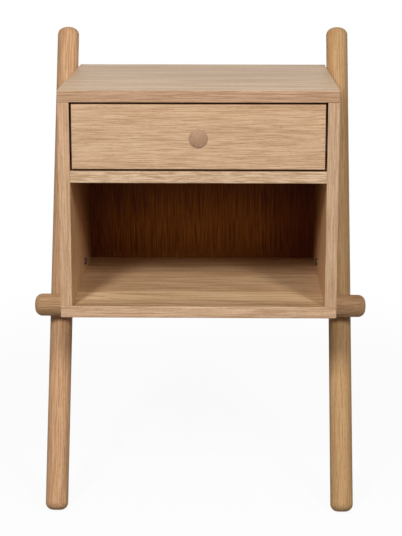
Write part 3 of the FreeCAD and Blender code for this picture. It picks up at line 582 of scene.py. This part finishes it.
pole_x = end_x + ROD_DIAMETER / 2
pole_top_z = top_z + POLE_RISE
round_over = (ROD_DIAMETER - ROD_END_FLAT) / 2
lean_sine, lean_cosine = math.sin(POLE_LEAN), math.cos(POLE_LEAN)
foot_z = ROD_END_FLAT / 2 * lean_sine + round_over * (1 - lean_cosine)
pole_length = (pole_top_z - foot_z) / lean_cosine
pole_top_y = wall_y - ROD_END_FLAT / 2 * lean_cosine - round_over * (1 - lean_sine)
foot_y = pole_top_y - pole_length * lean_sine
up_the_pole = Vector((0, lean_sine, lean_cosine))
rearward = Vector((0, lean_cosine, -lean_sine))
bar_low, bar_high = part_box("cross_bar")
bar_middle = (bar_low + bar_high) / 2


def pole_y(z):
    """Where a pole's axis lies at a height."""
    return pole_top_y - (pole_top_z - z) * math.tan(POLE_LEAN)


def place_from(start, middle):
    return start.node("ShaderNodeVectorMath", {0: object_place(start), 1: middle}, operation="SUBTRACT")


def turned_rod(node_name, oak, length, place, bores):
    """A finished rod: made along +Z, laid in its place and bored."""
    mesh = grown(node_name + "_rod", turned_rod_tree(oak), {
        "Length": length, "Diameter": ROD_DIAMETER, "End Flat": ROD_END_FLAT,
        "Segments": ROD_SEGMENTS, "End Rings": ROD_END_RINGS, "Body Rings": ROD_BODY_RINGS})
    mesh.transform(place)
    outward(mesh)
    mesh = bored(mesh, bores, node_name)
    smooth(mesh)
    finished(node_name + "_rod", mesh, "root", "oak_turned", node_name)


POLE_BOLTS_YZ = [(pole_y(z), z) for z in POLE_BOLT_HEIGHTS]
BAR_BOLT_SPOTS = [bar_middle + Vector((side * pole_x, 0, 0)) for side in (-1, 1)]
for node_name, cut in POLE_CUTS.items():
    side = -1 if node_name.startswith("left") else 1
    oak, start = new_material("oak_" + node_name)
    foot = Vector((side * pole_x, foot_y, foot_z))
    turned = start.node("ShaderNodeMapping", {
        "Vector": place_from(start, foot), "Rotation": (POLE_LEAN, 0, 0), "Scale": (MM, MM, MM)})
    oak_finish(start, turned, cut, *cut["tones"], **ROD_OIL)
    crossing = (bar_middle.y - foot_y) * lean_sine + (bar_middle.z - foot_z) * lean_cosine
    axis_spot = foot + up_the_pole * crossing
    inner_face = Vector((side * (pole_x - ROD_DIAMETER / 2 - DRILL_OVER), 0, 0))
    bores = [(axis_spot - rearward * (BOLT_HOLE_LENGTH / 2), rearward, BOLT_HOLE, BOLT_HOLE_LENGTH),
             (axis_spot + rearward * (ROD_DIAMETER / 2 - BOLT_CAP_SINK), rearward, BOLT_CAP_HOLE,
              BOLT_CAP_SINK + DRILL_OVER)]
    bores += [(inner_face + Vector((0, y, z)), Vector((side, 0, 0)), INSERT_HOLE,
               INSERT_HOLE_DEPTH + DRILL_OVER) for y, z in POLE_BOLTS_YZ]
    turned_rod(node_name, oak, pole_length,
               Matrix.Translation(foot) @ Matrix.Rotation(-POLE_LEAN, 4, "X"), bores)

oak, start = new_material("oak_cross_bar")
x, y, z = split(place_from(start, bar_middle))
oak_finish(start, join(z * MM, y * MM, x * MM), BAR_CUT, *BAR_CUT["tones"], **ROD_OIL)
bar_length = bar_high.x - bar_low.x
bar_end = bar_middle - Vector((bar_length / 2, 0, 0))
turned_rod("cross_bar", oak, bar_length,
           Matrix.Translation(bar_end) @ Matrix.Rotation(math.pi / 2, 4, "Y"),
           [(spot + rearward * (ROD_DIAMETER / 2 - INSERT_HOLE_DEPTH), rearward, INSERT_HOLE,
             INSERT_HOLE_DEPTH + DRILL_OVER) for spot in BAR_BOLT_SPOTS])

# Case dowels.  Fluted beech pins, 8 by 30 mm, glued into the ends of the sides, of the middle
# board and of the wall rail, and into the faces that these meet.
PLAIN, THREADED, FLUTED, SOCKET = 0, 1, 2, 3
BEECH_LIGHT = (214, 174, 132)
BEECH_DARK = (180, 136, 96)
DOWEL_ROWS_Y = [front_y + back for back in (0.04, 0.18, 0.32)]
# Where the pins begin: upright ones at the ends of the sides, level ones in the ends of the
# middle board and of the wall rail.
SIDE_DOWEL_X = 0.201
SIDE_DOWELS_Z = (0.646, 0.341)
FACE_DOWEL_X = 0.174
MID_DOWELS_YZ = [(y, 0.552) for y in DOWEL_ROWS_Y]
RAIL_DOWELS_YZ = [(wall_y - 0.009, z) for z in (0.619, 0.649)]


def turned_tree(material, ends="NGON"):
    """Rings whose radius, kind and height are the x, y and z of the profile's points."""
    start, given = tree_with_inputs("turned_piece", {
        "Profile": "Geometry", "Segments": "Int", "Pitch": "Float", "Thread Depth": "Float",
        "Flutes": "Int", "Flute Depth": "Float",
        "Socket Sides": "Int", "Socket Reach": "Float", "Socket Half": "Float"})
    steps = start.node("GeometryNodeAttributeDomainSize", {0: given["Profile"]}) - 1
    tube = start.node("GeometryNodeMeshCylinder", {
        "Vertices": given["Segments"], "Side Segments": steps, "Radius": 1, "Depth": steps}, fill_type=ends)
    position = start.node("GeometryNodeInputPosition")
    x, y, z = split(position)
    ring = start.maths("ROUND", z + steps / 2)
    radius, kind, height = split(start.node(
        "GeometryNodeSampleIndex", {"Geometry": given["Profile"], "Value": position, "Index": ring},
        data_type="FLOAT_VECTOR"))
    turn = start.maths("ARCTAN2", y, x) / (2 * math.pi)
    thread = abs(start.maths("FRACT", height / given["Pitch"] - turn) * 2 - 1)
    flute = start.maths("COSINE", turn * given["Flutes"] * (2 * math.pi)) * 0.5 + 0.5
    radius = radius - start.maths("COMPARE", kind, THREADED, 0.5) * given["Thread Depth"] * (1 - thread)
    radius = radius - start.maths("COMPARE", kind, FLUTED, 0.5) * given["Flute Depth"] * (1 - flute)
    part_of_side = start.maths("FRACT", turn * given["Socket Sides"] + 0.5) - 0.5
    fold = part_of_side / given["Socket Sides"] * (2 * math.pi)
    width = start.maths("MAXIMUM", abs(start.maths("SINE", fold)), 0.0001)
    reach = start.maths("MINIMUM", given["Socket Reach"] / start.maths("COSINE", fold),
                        given["Socket Half"] / width)
    radius = radius + start.maths("COMPARE", kind, SOCKET, 0.5) * (reach - radius)
    shaped = start.node("GeometryNodeSetPosition", {
        "Geometry": tube, "Position": join(x * radius, y * radius, height)})
    end_tree(start, shaped, material)
    return start.tree


def turned_piece(name, profile, material, ends="NGON", **numbers):
    """A turned mesh along +Z from rings of radius, height and kind, given in millimetres."""
    base = plain_mesh(name + "_profile", [(radius, kind, height) for radius, height, kind in profile])
    settings = {"Segments": 48, "Pitch": 1, "Thread Depth": 0, "Flutes": 1, "Flute Depth": 0,
                "Socket Sides": 6, "Socket Reach": 1, "Socket Half": 100}
    settings.update({key.replace("_", " ").title(): number for key, number in numbers.items()})
    mesh = grown(name, turned_tree(material, ends), settings, base)
    mesh.transform(Matrix.Scale(1 / MM, 4))
    outward(mesh)
    smooth(mesh, 40)
    return mesh


def set_out(name, piece_mesh, spots, material, body, slot, *replaced):
    """Copies of a piece made along +Z, one at each spot and aimed its way, as one finished mesh."""
    start, given = tree_with_inputs("set_out", {"Spots": "Geometry", "Piece": "Object"})
    aim = start.node("GeometryNodeInputNamedAttribute", {"Name": "aim"}, data_type="FLOAT_VECTOR")
    turn = start.node("FunctionNodeAlignRotationToVector", {"Vector": aim}, axis="Z")
    piece = start.node("GeometryNodeObjectInfo", {"Object": given["Piece"]}, output="Geometry")
    copies = start.node("GeometryNodeInstanceOnPoints", {
        "Points": given["Spots"], "Instance": piece, "Rotation": turn})
    end_tree(start, copies, material)
    base = plain_mesh(name + "_spots", [spot for spot, aim in spots])
    base.attributes.new("aim", "FLOAT_VECTOR", "POINT").data.foreach_set(
        "vector", [part for spot, aim in spots for part in aim])
    piece = put(name + "_piece", piece_mesh)
    mesh = grown(name, start.tree, {"Piece": piece}, base)
    bpy.data.objects.remove(piece)
    finished(name, mesh, body, slot, *replaced)


def both_sides(x, way, places):
    """Spots at places in Y and Z, left and right, aimed outwards where the way is 1, else inwards."""
    return [((side * x, y, z), (side * way, 0, 0)) for side in (-1, 1) for y, z in places]


def dowel_profile(diameter, length):
    """Fluted between two plain chamfered ends."""
    radius, chamfer = diameter / 2, diameter / 10
    lower = [(radius - chamfer, 0, PLAIN), (radius, chamfer, PLAIN), (radius, chamfer * 2, PLAIN),
             (radius, chamfer * 2.5, FLUTED)]
    upper = [(wide, length - height, kind) for wide, height, kind in reversed(lower)]
    return lower + [(radius, length / 2, FLUTED)] + upper


beech, start = new_material("beech_dowel")
point = object_place(start, MM)
flecks = rise(noise(point, 0.5, 2.2, 3), 0.08, 0.2)
shade = 0.4 + noise(point, 6, 9) * 1.2 + flecks * 0.4
clear_oil(start, blend(shade, screen(*BEECH_LIGHT), screen(*BEECH_DARK)), 0.6 + flecks * 0.1, 1 - flecks)

dowel = turned_piece("case_dowel", dowel_profile(8, 30), beech, flutes=16, flute_depth=0.3)
spots = [((side * SIDE_DOWEL_X, y, z), (0, 0, 1)) for side in (-1, 1) for y in DOWEL_ROWS_Y
         for z in SIDE_DOWELS_Z]
spots += both_sides(FACE_DOWEL_X, 1, MID_DOWELS_YZ + RAIL_DOWELS_YZ)
set_out("case_dowel_pins", dowel, spots, beech, "root", "beech_dowel", "case_dowels")

# Pole bolts and bar bolts.  Dark nickelled M6 screws with hexagon sockets: four button heads
# go through the sides into the poles, two cap heads through the poles into the bar.
NICKEL = (0.12, 0.1, 0.085, 1)
CASE_INSIDE_X = 0.192
BAR_BOLT_SEAT = ROD_DIAMETER * 1.5 - BOLT_CAP_SINK


def metal(name, colour, rough=0.36, streak=(2, 2, 2), spread=0.25):
    """Plated metal: faint clouds, fine wear drawn out the way it was worked, dull specks."""
    made, start = new_material(name)
    point = object_place(start, MM)
    drawn = start.node("ShaderNodeVectorMath", {0: point, 1: streak}, operation="MULTIPLY")
    wear = start.node("ShaderNodeTexNoise", {"Vector": drawn, "Scale": 1, "Detail": 4}) - 0.5
    clouds = noise(point, 9, 9, 2)
    specks = rise(noise(point, 0.6, 0.6, 2), 0.12, 0.26)
    shade = start.maths("MAXIMUM", 0.5 + wear * spread * 2 + clouds * spread * 2 + specks * 0.3, 0)
    lighter, darker = ((*(min(part * share, 1) for part in colour[:3]), 1)
                       for share in (1 + spread, 1 - spread))
    bump = start.node("ShaderNodeBump", {"Strength": 0.3, "Distance": 0.00003, "Height": wear})
    skin = start.node("ShaderNodeBsdfPrincipled", {
        "Base Color": blend(shade, lighter, darker), "Metallic": 1,
        "Roughness": rough + wear * 0.2 + specks * 0.15, "Normal": bump})
    start.node("ShaderNodeOutputMaterial", {"Surface": skin})
    return made


def shank(length, radius, pitch, plain, point):
    """Rings of a threaded shank from its tip up to its plain neck under the head."""
    step = pitch / 4
    count = round(length / step)
    rings = [(radius - point[0], -length, PLAIN)]
    for number in range(1, count):
        height = -length + number * length / count
        narrowed = min(radius, radius - point[0] * (1 - (height + length) / point[1]))
        rings.append((narrowed, height, THREADED if height < -plain else PLAIN))
    return rings + [(radius, 0, PLAIN)]


def head(radius, rise_up, corner, socket_depth):
    """Rings of a round head with a rounded rim, and of the socket sunk in its top."""
    wide, tall = corner
    rings = [(radius, 0, PLAIN)]
    for number in range(7):
        turn = math.radians(90) * number / 6
        rings.append((radius - wide * (1 - math.cos(turn)), rise_up - tall * (1 - math.sin(turn)), PLAIN))
    return rings + [(radius / 3, rise_up, SOCKET), (radius / 3, rise_up - socket_depth, SOCKET)]


nickel = metal("dark_nickel", NICKEL, 0.64)
pole_bolt = turned_piece("pole_bolt", shank(30, 3, 1, 4, (0.6, 0.8)) + head(6, 3.3, (2.7, 2.7), 2.2),
                         nickel, pitch=1, thread_depth=0.6, socket_reach=2)
set_out("pole_bolt_set", pole_bolt, both_sides(CASE_INSIDE_X, -1, POLE_BOLTS_YZ), nickel, "root",
        "nickel_bolt", "pole_bolts")
bar_bolt = turned_piece("bar_bolt", shank(40, 3, 1, 16, (0.6, 0.8)) + head(5, 6, (0.6, 0.6), 4),
                        nickel, pitch=1, thread_depth=0.6, socket_reach=2.5)
set_out("bar_bolt_set", bar_bolt,
        [(spot + rearward * BAR_BOLT_SEAT, rearward) for spot in BAR_BOLT_SPOTS],
        nickel, "root", "nickel_bolt", "bar_bolts")

# Threaded inserts.  Zinc plated steel bushes with a coarse thread outside and a hexagon mouth,
# driven into the inner sides of the poles and into the rear of the bar.
ZINC = (0.62, 0.63, 0.64, 1)
POLE_INSERT_X = 0.224
INSERT_LENGTH = 13
INSERT_SINK = 1
BAR_INSERT_START = ROD_DIAMETER / 2 - (INSERT_LENGTH + INSERT_SINK) / MM


def bush(outer, bore, length, pitch, mouth):
    """Rings round the wall of a threaded bush: up its thread, over its mouth and down its bore."""
    step = pitch / 5
    count = round(length / step)
    rings = [(bore, 0, PLAIN), (outer - 0.4, 0, PLAIN)]
    rings += [(outer, number * length / count, THREADED) for number in range(1, count - 2)]
    rings += [(outer, length - 1, PLAIN), (outer, length - 0.3, PLAIN), (outer - 0.3, length, PLAIN),
              (mouth, length, SOCKET), (mouth, length * 0.6, SOCKET), (bore, length * 0.6, PLAIN),
              (bore, length * 0.3, PLAIN), (bore, 0, PLAIN)]
    return rings


zinc = metal("bright_zinc", ZINC)
insert = turned_piece("threaded_insert", bush(5, 3.05, INSERT_LENGTH, 2.5, 3.3), zinc, "NONE",
                      pitch=2.5, thread_depth=0.9, socket_reach=3.2)
set_out("pole_insert_set", insert, both_sides(POLE_INSERT_X, -1, POLE_BOLTS_YZ), zinc, "root",
        "zinc_insert", "pole_inserts")
set_out("bar_insert_set", insert,
        [(spot + rearward * BAR_INSERT_START, rearward) for spot in BAR_BOLT_SPOTS],
        zinc, "root", "zinc_insert", "bar_inserts")

# Drawer box.  12 mm birch plywood, lacquered, its plies showing on the edges, glued and
# dowelled at the corners, with a 5 mm plywood bottom let into grooves.
BIRCH_LIGHT = (233, 213, 176)
BIRCH_DARK = (209, 180, 134)
PLY_DARK = (176, 139, 96)
PLY_GLUE = (120, 84, 52)
PLY_SHIFT = 31
# Each board: the way its outer plies run, the way its faces look, a ply's thickness, a shift.
PLY_BOARDS = {
    "drawer_box_front": (X, Y, 1.35, 21),
    "drawer_back": (X, Y, 1.35, 22),
    "drawer_left_side": (Y, X, 1.35, 23),
    "drawer_right_side": (Y, X, 1.35, 24),
    "drawer_bottom": (X, Z, 1.25, 25),
}
for node_name, (along, face, ply, seed) in PLY_BOARDS.items():
    birch, start = new_material("birch_" + node_name)
    place, looks, third = board_axes(start, along, face)
    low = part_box(node_name)[0]
    point = join(place[third] + seed * PLY_SHIFT, place[face], place[along])
    flame = noise(point, 34, 190, 2)
    flecks = rise(noise(point, 0.5, 9, 2), 0.1, 0.22)
    figure = 0.4 + flame * 1.3 + noise(point, 2, 80, 2) * 0.5 + flecks * 0.3
    sheet_colour = blend(figure, screen(*BIRCH_LIGHT), screen(*BIRCH_DARK))
    plies = (place[face] - low[face] * MM) / ply
    crossed = start.maths("MODULO", start.maths("FLOOR", plies), 2)
    glue = rise(abs(start.maths("FRACT", plies) - 0.5), 0.42, 0.49)
    edge_point = join(place[face] * 0.4, place[third] + place[along], place[third] - place[along])
    fibres = rise(noise(edge_point, 0.35, 0.35, 2), -0.1, 0.2)
    ply_colour = blend(crossed * (fibres * 0.6 + 0.4), screen(*BIRCH_LIGHT), screen(*PLY_DARK))
    ply_colour = blend(glue * 0.7, ply_colour, screen(*PLY_GLUE))
    on_face = abs(looks[face]) > FACING
    clear_oil(start, blend(on_face, ply_colour, sheet_colour), 0.36 + flecks * 0.12,
              1 - flecks * 0.4 - glue * (1 - on_face) * 0.5, 0.00008)
    nodes[node_name].data.materials[0] = birch

# Drawer dowels.  Fluted beech pins, 6 by 24 mm, glued in, two at each corner of the box.  They
# run from its sides into its front and its back.
BOX_DOWEL_X = 0.1513
BOX_DOWELS_YZ = [(front_y + back, z) for back in (0.024, 0.312) for z in (0.598, 0.624)]
box_dowel = turned_piece("box_dowel", dowel_profile(6, 24), beech, flutes=12, flute_depth=0.25)
set_out("drawer_dowel_pins", box_dowel, both_sides(BOX_DOWEL_X, 1, BOX_DOWELS_YZ), beech, "drawer",
        "beech_dowel", "drawer_dowels")

# Knob.  A low round oak knob, turned with end grain to the front and eased at its rim; its
# spigot is let into the drawer front, and a blind hole in it holds a brass insert.
KNOB_LIGHT = (191, 154, 125)
KNOB_DARK = (161, 123, 96)
KNOB_CUT = {"pith": (30, -50), "taper": 0, "ring": 2.2, "seed": 18.3, "streaks": (2, 9, 0.4)}
KNOB_Z = 0.611
# In millimetres: the radii of its bore, its spigot and its rim, the spigot's length, and how
# the rim and the dome in front of it are rounded.
KNOB_BORE = 4.05
KNOB_SPIGOT = 8
KNOB_RADIUS = 14
KNOB_DEPTH = 12
KNOB_ROUND = 0.8
KNOB_RIM = 1.8
KNOB_DOME = 2.2
knob_oak, start = new_material("oak_knob")
x, y, z = split(place_from(start, (0, front_y, KNOB_Z)))
oak_finish(start, join(x * MM, z * MM, y * MM), KNOB_CUT, KNOB_LIGHT, KNOB_DARK, rough=0.55, gloss=0.3)
knob_rings = [(KNOB_BORE, 1), (KNOB_BORE, -KNOB_DEPTH / 2), (KNOB_BORE, -KNOB_DEPTH),
              (KNOB_SPIGOT - 0.4, -KNOB_DEPTH), (KNOB_SPIGOT, 0.4 - KNOB_DEPTH),
              (KNOB_SPIGOT, -KNOB_DEPTH / 2), (KNOB_SPIGOT, 0), (KNOB_RADIUS - 0.3, 0), (KNOB_RADIUS, 0.3)]
for turn in (math.radians(degrees) for degrees in (0, 20, 40, 60, 78)):
    knob_rings.append((KNOB_RADIUS - KNOB_ROUND * (1 - math.cos(turn)),
                       KNOB_RIM - KNOB_ROUND * (1 - math.sin(turn))))
knob_rings += [((KNOB_RADIUS - 1) * out, KNOB_RIM + KNOB_DOME * (1 - out * out))
               for out in (0.95, 0.85, 0.72, 0.58, 0.43, 0.3)]
knob = turned_piece("turned_knob", [(*ring, PLAIN) for ring in knob_rings], knob_oak, segments=96)
set_out("turned_knob", knob, [((0, front_y, KNOB_Z), (0, -1, 0))], knob_oak, "drawer", "oak_turned",
        "drawer_knob")

# Knob insert and screws.  A brass bush in the knob, the M4 screw that holds it from inside the
# box, and the two wood screws that hold the front board to the box.
BRASS = (0.72, 0.56, 0.28, 1)
BOX_INSIDE_Y = front_y + 0.03
FACE_SCREW_X = 0.11
brass = metal("plain_brass", BRASS, 0.3)
knob_insert = turned_piece("knob_bush", bush(4, 2.05, 12, 2, 2.3), brass, "NONE",
                           pitch=2, thread_depth=0.7, socket_reach=2.2)
set_out("knob_bush", knob_insert, [((0, front_y, KNOB_Z), (0, 1, 0))], brass, "drawer", "brass_insert",
        "knob_insert")
knob_screw = turned_piece(
    "knob_screw", shank(28, 2, 0.7, 8, (0.4, 0.6)) + head(4, 2.2, (1.33, 1.1), 1.47), zinc,
    pitch=0.7, thread_depth=0.4, socket_sides=4, socket_reach=2, socket_half=0.5)
set_out("knob_screw_set", knob_screw, [((0, BOX_INSIDE_Y, KNOB_Z), (0, 1, 0))], zinc, "drawer",
        "zinc_screw", "knob_screw")


def wood_screw(name, length, head_width, head_rise):
    """A 4 mm wood screw with a pan head, a cross socket and a coarse thread up to its point."""
    rings = shank(length, 2, 1.6, length / 4, (1, 3))
    rings += head(head_width / 2, head_rise, (head_width / 6, head_rise / 2), head_rise * 2 / 3)
    return turned_piece(name, rings, zinc, pitch=1.6, thread_depth=0.55, socket_sides=4,
                        socket_reach=head_width / 4, socket_half=head_width / 16)


set_out("face_screw_set", wood_screw("face_screw", 25, 8, 2.2),
        [((side * FACE_SCREW_X, BOX_INSIDE_Y, KNOB_Z), (0, 1, 0)) for side in (-1, 1)], zinc, "drawer",
        "zinc_screw", "drawer_face_screws")

# Drawer slides.  Three members of black zinc plated steel strip on each side, rolled into
# channels that run in each other: the outer on the case, the inner on the drawer box.
BLACK_ZINC = (0.10, 0.10, 0.11, 1)
SLIDE_Y = front_y + 0.018
SLIDE_Z = 0.611
SLIDE_LENGTH = 300
SLIDE_STEEL = 1.2
SLIDE_BEND = 0.55


def channel(web, tip, half, lip):
    """The outline of a channel with lips: across from the case, and up."""
    upper = [(web, half), (tip, half), (tip, lip), (tip - SLIDE_STEEL, lip),
             (tip - SLIDE_STEEL, half - SLIDE_STEEL), (web + SLIDE_STEEL, half - SLIDE_STEEL)]
    return upper + [(x, -z) for x, z in reversed(upper)]


def plate(face, tip, half):
    """The outline of a plate whose flanges reach back to the tip."""
    upper = [(face, half), (tip, half), (tip, half - SLIDE_STEEL), (face - SLIDE_STEEL, half - SLIDE_STEEL)]
    return upper + [(x, -z) for x, z in reversed(upper)]


# Each member: its outline, the first place, the spacing and the width of its three holes, and
# the body that it rides on.
SLIDE_MEMBERS = {
    "outer": (channel(0, 10.45, 22.75, 18.15), 30, 120, 4.1, "root"),
    "middle": (channel(3.4, 11.1, 17.35, 12.35), 60, 90, 7, "{}_middle"),
    "inner": (plate(12.7, 5, 11.95), 50, 100, 4.1, "drawer"),
}


def rolled_tree(material):
    """A closed outline with rounded bends, drawn out along +Z, with a row of holes along X."""
    start, given = tree_with_inputs("rolled_strip", {
        "Outline": "Geometry", "Length": "Float", "Bend": "Float", "Hole": "Float",
        "First Hole": "Float", "Hole Step": "Float", "Holes": "Int"})
    line = start.node("GeometryNodeMeshToCurve", {"Mesh": given["Outline"]})
    line = start.node("GeometryNodeFilletCurve", {
        "Curve": line, "Count": 4, "Radius": given["Bend"], "Limit Radius": True}, mode="POLY")
    sheet = start.node("GeometryNodeFillCurve", {"Curve": line}, mode="NGONS")
    drawn = start.node("GeometryNodeExtrudeMesh", {
        "Mesh": sheet, "Offset": (0, 0, 1), "Offset Scale": given["Length"], "Individual": False})
    both = start.node("GeometryNodeJoinGeometry", {0: drawn})
    flipped = start.node("GeometryNodeFlipFaces", {"Mesh": sheet})
    start.tree.links.new(flipped.socket, both.socket.node.inputs[0])
    solid = start.node("GeometryNodeMergeByDistance", {"Geometry": both, "Distance": 0.001})
    first = start.node("ShaderNodeCombineXYZ", {2: given["First Hole"]})
    step = start.node("ShaderNodeCombineXYZ", {2: given["Hole Step"]})
    row = start.node("GeometryNodeMeshLine", {
        "Count": given["Holes"], "Start Location": first, "Offset": step})
    drill = start.node("GeometryNodeMeshCylinder", {
        "Vertices": 32, "Radius": given["Hole"] / 2, "Depth": 100})
    drills = start.node("GeometryNodeInstanceOnPoints", {
        "Points": row, "Instance": drill, "Rotation": (0, math.pi / 2, 0)})
    drills = start.node("GeometryNodeRealizeInstances", {0: drills})
    holed = start.node("GeometryNodeMeshBoolean", {"Mesh 1": solid, "Mesh 2": drills},
                       operation="DIFFERENCE", solver="EXACT")
    end_tree(start, holed, material)
    return start.tree


def rolled_strip(name, outline, material, length, bend, hole, first, step, count):
    """A rolled or punched strip along +Z, in millimetres, with a row of holes along it."""
    base = plain_mesh(name + "_outline", [(x, y, 0) for x, y in outline],
                      [(n, (n + 1) % len(outline)) for n in range(len(outline))])
    return grown(name, rolled_tree(material), {
        "Length": length, "Bend": bend, "Hole": hole, "First Hole": first, "Hole Step": step,
        "Holes": count}, base)


def slide_place(side):
    """From millimetres off the case's side, up and back, to the frame."""
    return Matrix(((-side / MM, 0, 0, side * CASE_INSIDE_X), (0, 0, 1 / MM, SLIDE_Y),
                   (0, 1 / MM, 0, SLIDE_Z), (0, 0, 0, 1)))


SIDES = {"left": -1, "right": 1}
black_zinc = metal("black_zinc", BLACK_ZINC, 0.42, (1.5, 0.02, 1.5), 0.3)
for side_name, side in SIDES.items():
    for member_name, (outline, first, step, hole, body) in SLIDE_MEMBERS.items():
        name = f"{side_name}_slide_{member_name}"
        mesh = rolled_strip(name, outline, black_zinc, SLIDE_LENGTH, SLIDE_BEND, hole, first, step, 3)
        mesh.transform(slide_place(side))
        outward(mesh)
        smooth(mesh, 30)
        finished(name + "_strip", mesh, body.format(side_name), "zinc_slide", name)

# Slide screws.  Short wood screws with low pan heads, three through each outer member into
# the case and three through each inner member into the drawer box.
CASE_SCREW_X = 0.1908
CASE_SCREWS_YZ = [(SLIDE_Y + back, SLIDE_Z) for back in (0.03, 0.15, 0.27)]
BOX_SCREW_X = 0.1805
BOX_SCREWS_YZ = [(SLIDE_Y + back, SLIDE_Z) for back in (0.05, 0.15, 0.25)]
set_out("case_screw_set", wood_screw("case_screw", 14, 7, 1.8),
        both_sides(CASE_SCREW_X, -1, CASE_SCREWS_YZ), zinc, "root", "zinc_screw", "slide_case_screws")
set_out("box_screw_set", wood_screw("box_screw", 10, 7, 1.8),
        both_sides(BOX_SCREW_X, 1, BOX_SCREWS_YZ), zinc, "drawer", "zinc_screw", "slide_box_screws")

# Ball cages.  Between two members of a slide run polished steel balls, eight over and eight
# under, each row spaced by a thin pressed strip.
RETAINER = (0.55, 0.56, 0.58, 1)
STEEL_BALL = (0.75, 0.76, 0.78, 1)
STRIP_THICK = 0.6
STRIP_BEND = 0.2
STRIP_START = 80
STRIP_LENGTH = 140
BALL_INSET = 14
BALL_DIAMETER = 0.004
BALL_HOLE = 4.15
BALLS = 8
BALL_STEP = (STRIP_LENGTH - 2 * BALL_INSET) / (BALLS - 1)
# Each cage: the near and far edge of its strips off the case, and its balls' height.
CAGES = {"outer": (3.4, 9.0, 19.45), "inner": (4.85, 9.65, 14.05)}
cage_steel = metal("cage_steel", RETAINER, 0.4, (1.5, 0.05, 1.5))
ball_steel = metal("ball_steel", STEEL_BALL, 0.12, (3, 3, 3), 0.08)


def ball_tree(material):
    """A ball on each point of the base."""
    start, given = tree_with_inputs("balls", {"Spots": "Geometry", "Diameter": "Float", "Fineness": "Int"})
    ball = start.node("GeometryNodeMeshIcoSphere", {
        "Radius": given["Diameter"] / 2, "Subdivisions": given["Fineness"]})
    balls = start.node("GeometryNodeInstanceOnPoints", {"Points": given["Spots"], "Instance": ball})
    end_tree(start, balls, material)
    return start.tree


for side_name, side in SIDES.items():
    for cage_name, (near, far, height) in CAGES.items():
        body = f"{side_name}_{cage_name}_cage"
        name = f"{side_name}_{cage_name}_retainer"
        middle = (near + far) / 2
        outline = [(x * STRIP_THICK / 2, y * (far - near) / 2) for x, y in SQUARE]
        strip = rolled_strip(name, outline, cage_steel, STRIP_LENGTH, STRIP_BEND, BALL_HOLE,
                             BALL_INSET, BALL_STEP, BALLS)
        strip.transform(Matrix(((0, 1, 0, middle), (1, 0, 0, 0), (0, 0, 1, STRIP_START), (0, 0, 0, 1))))
        pair = bmesh.new()
        for z in (-height, height):
            copy = strip.copy()
            copy.transform(slide_place(side) @ Matrix.Translation((0, z, 0)))
            pair.from_mesh(copy)
        pair_mesh = bpy.data.meshes.new(name)
        pair.to_mesh(pair_mesh)
        pair.free()
        pair_mesh.materials.append(cage_steel)
        outward(pair_mesh)
        smooth(pair_mesh, 30)
        finished(name + "_strips", pair_mesh, body, "ball_retainer", name)
        spots = [slide_place(side) @ Vector((middle, z, STRIP_START + BALL_INSET + BALL_STEP * number))
                 for z in (-height, height) for number in range(BALLS)]
        base = plain_mesh(name + "_spots", spots)
        ball_mesh = grown(name + "_balls", ball_tree(ball_steel),
                          {"Diameter": BALL_DIAMETER, "Fineness": 4}, base)
        ball_mesh.shade_smooth()
        finished(f"{side_name}_{cage_name}_ball_row", ball_mesh, body, "bearing_ball",
                 f"{side_name}_{cage_name}_balls")
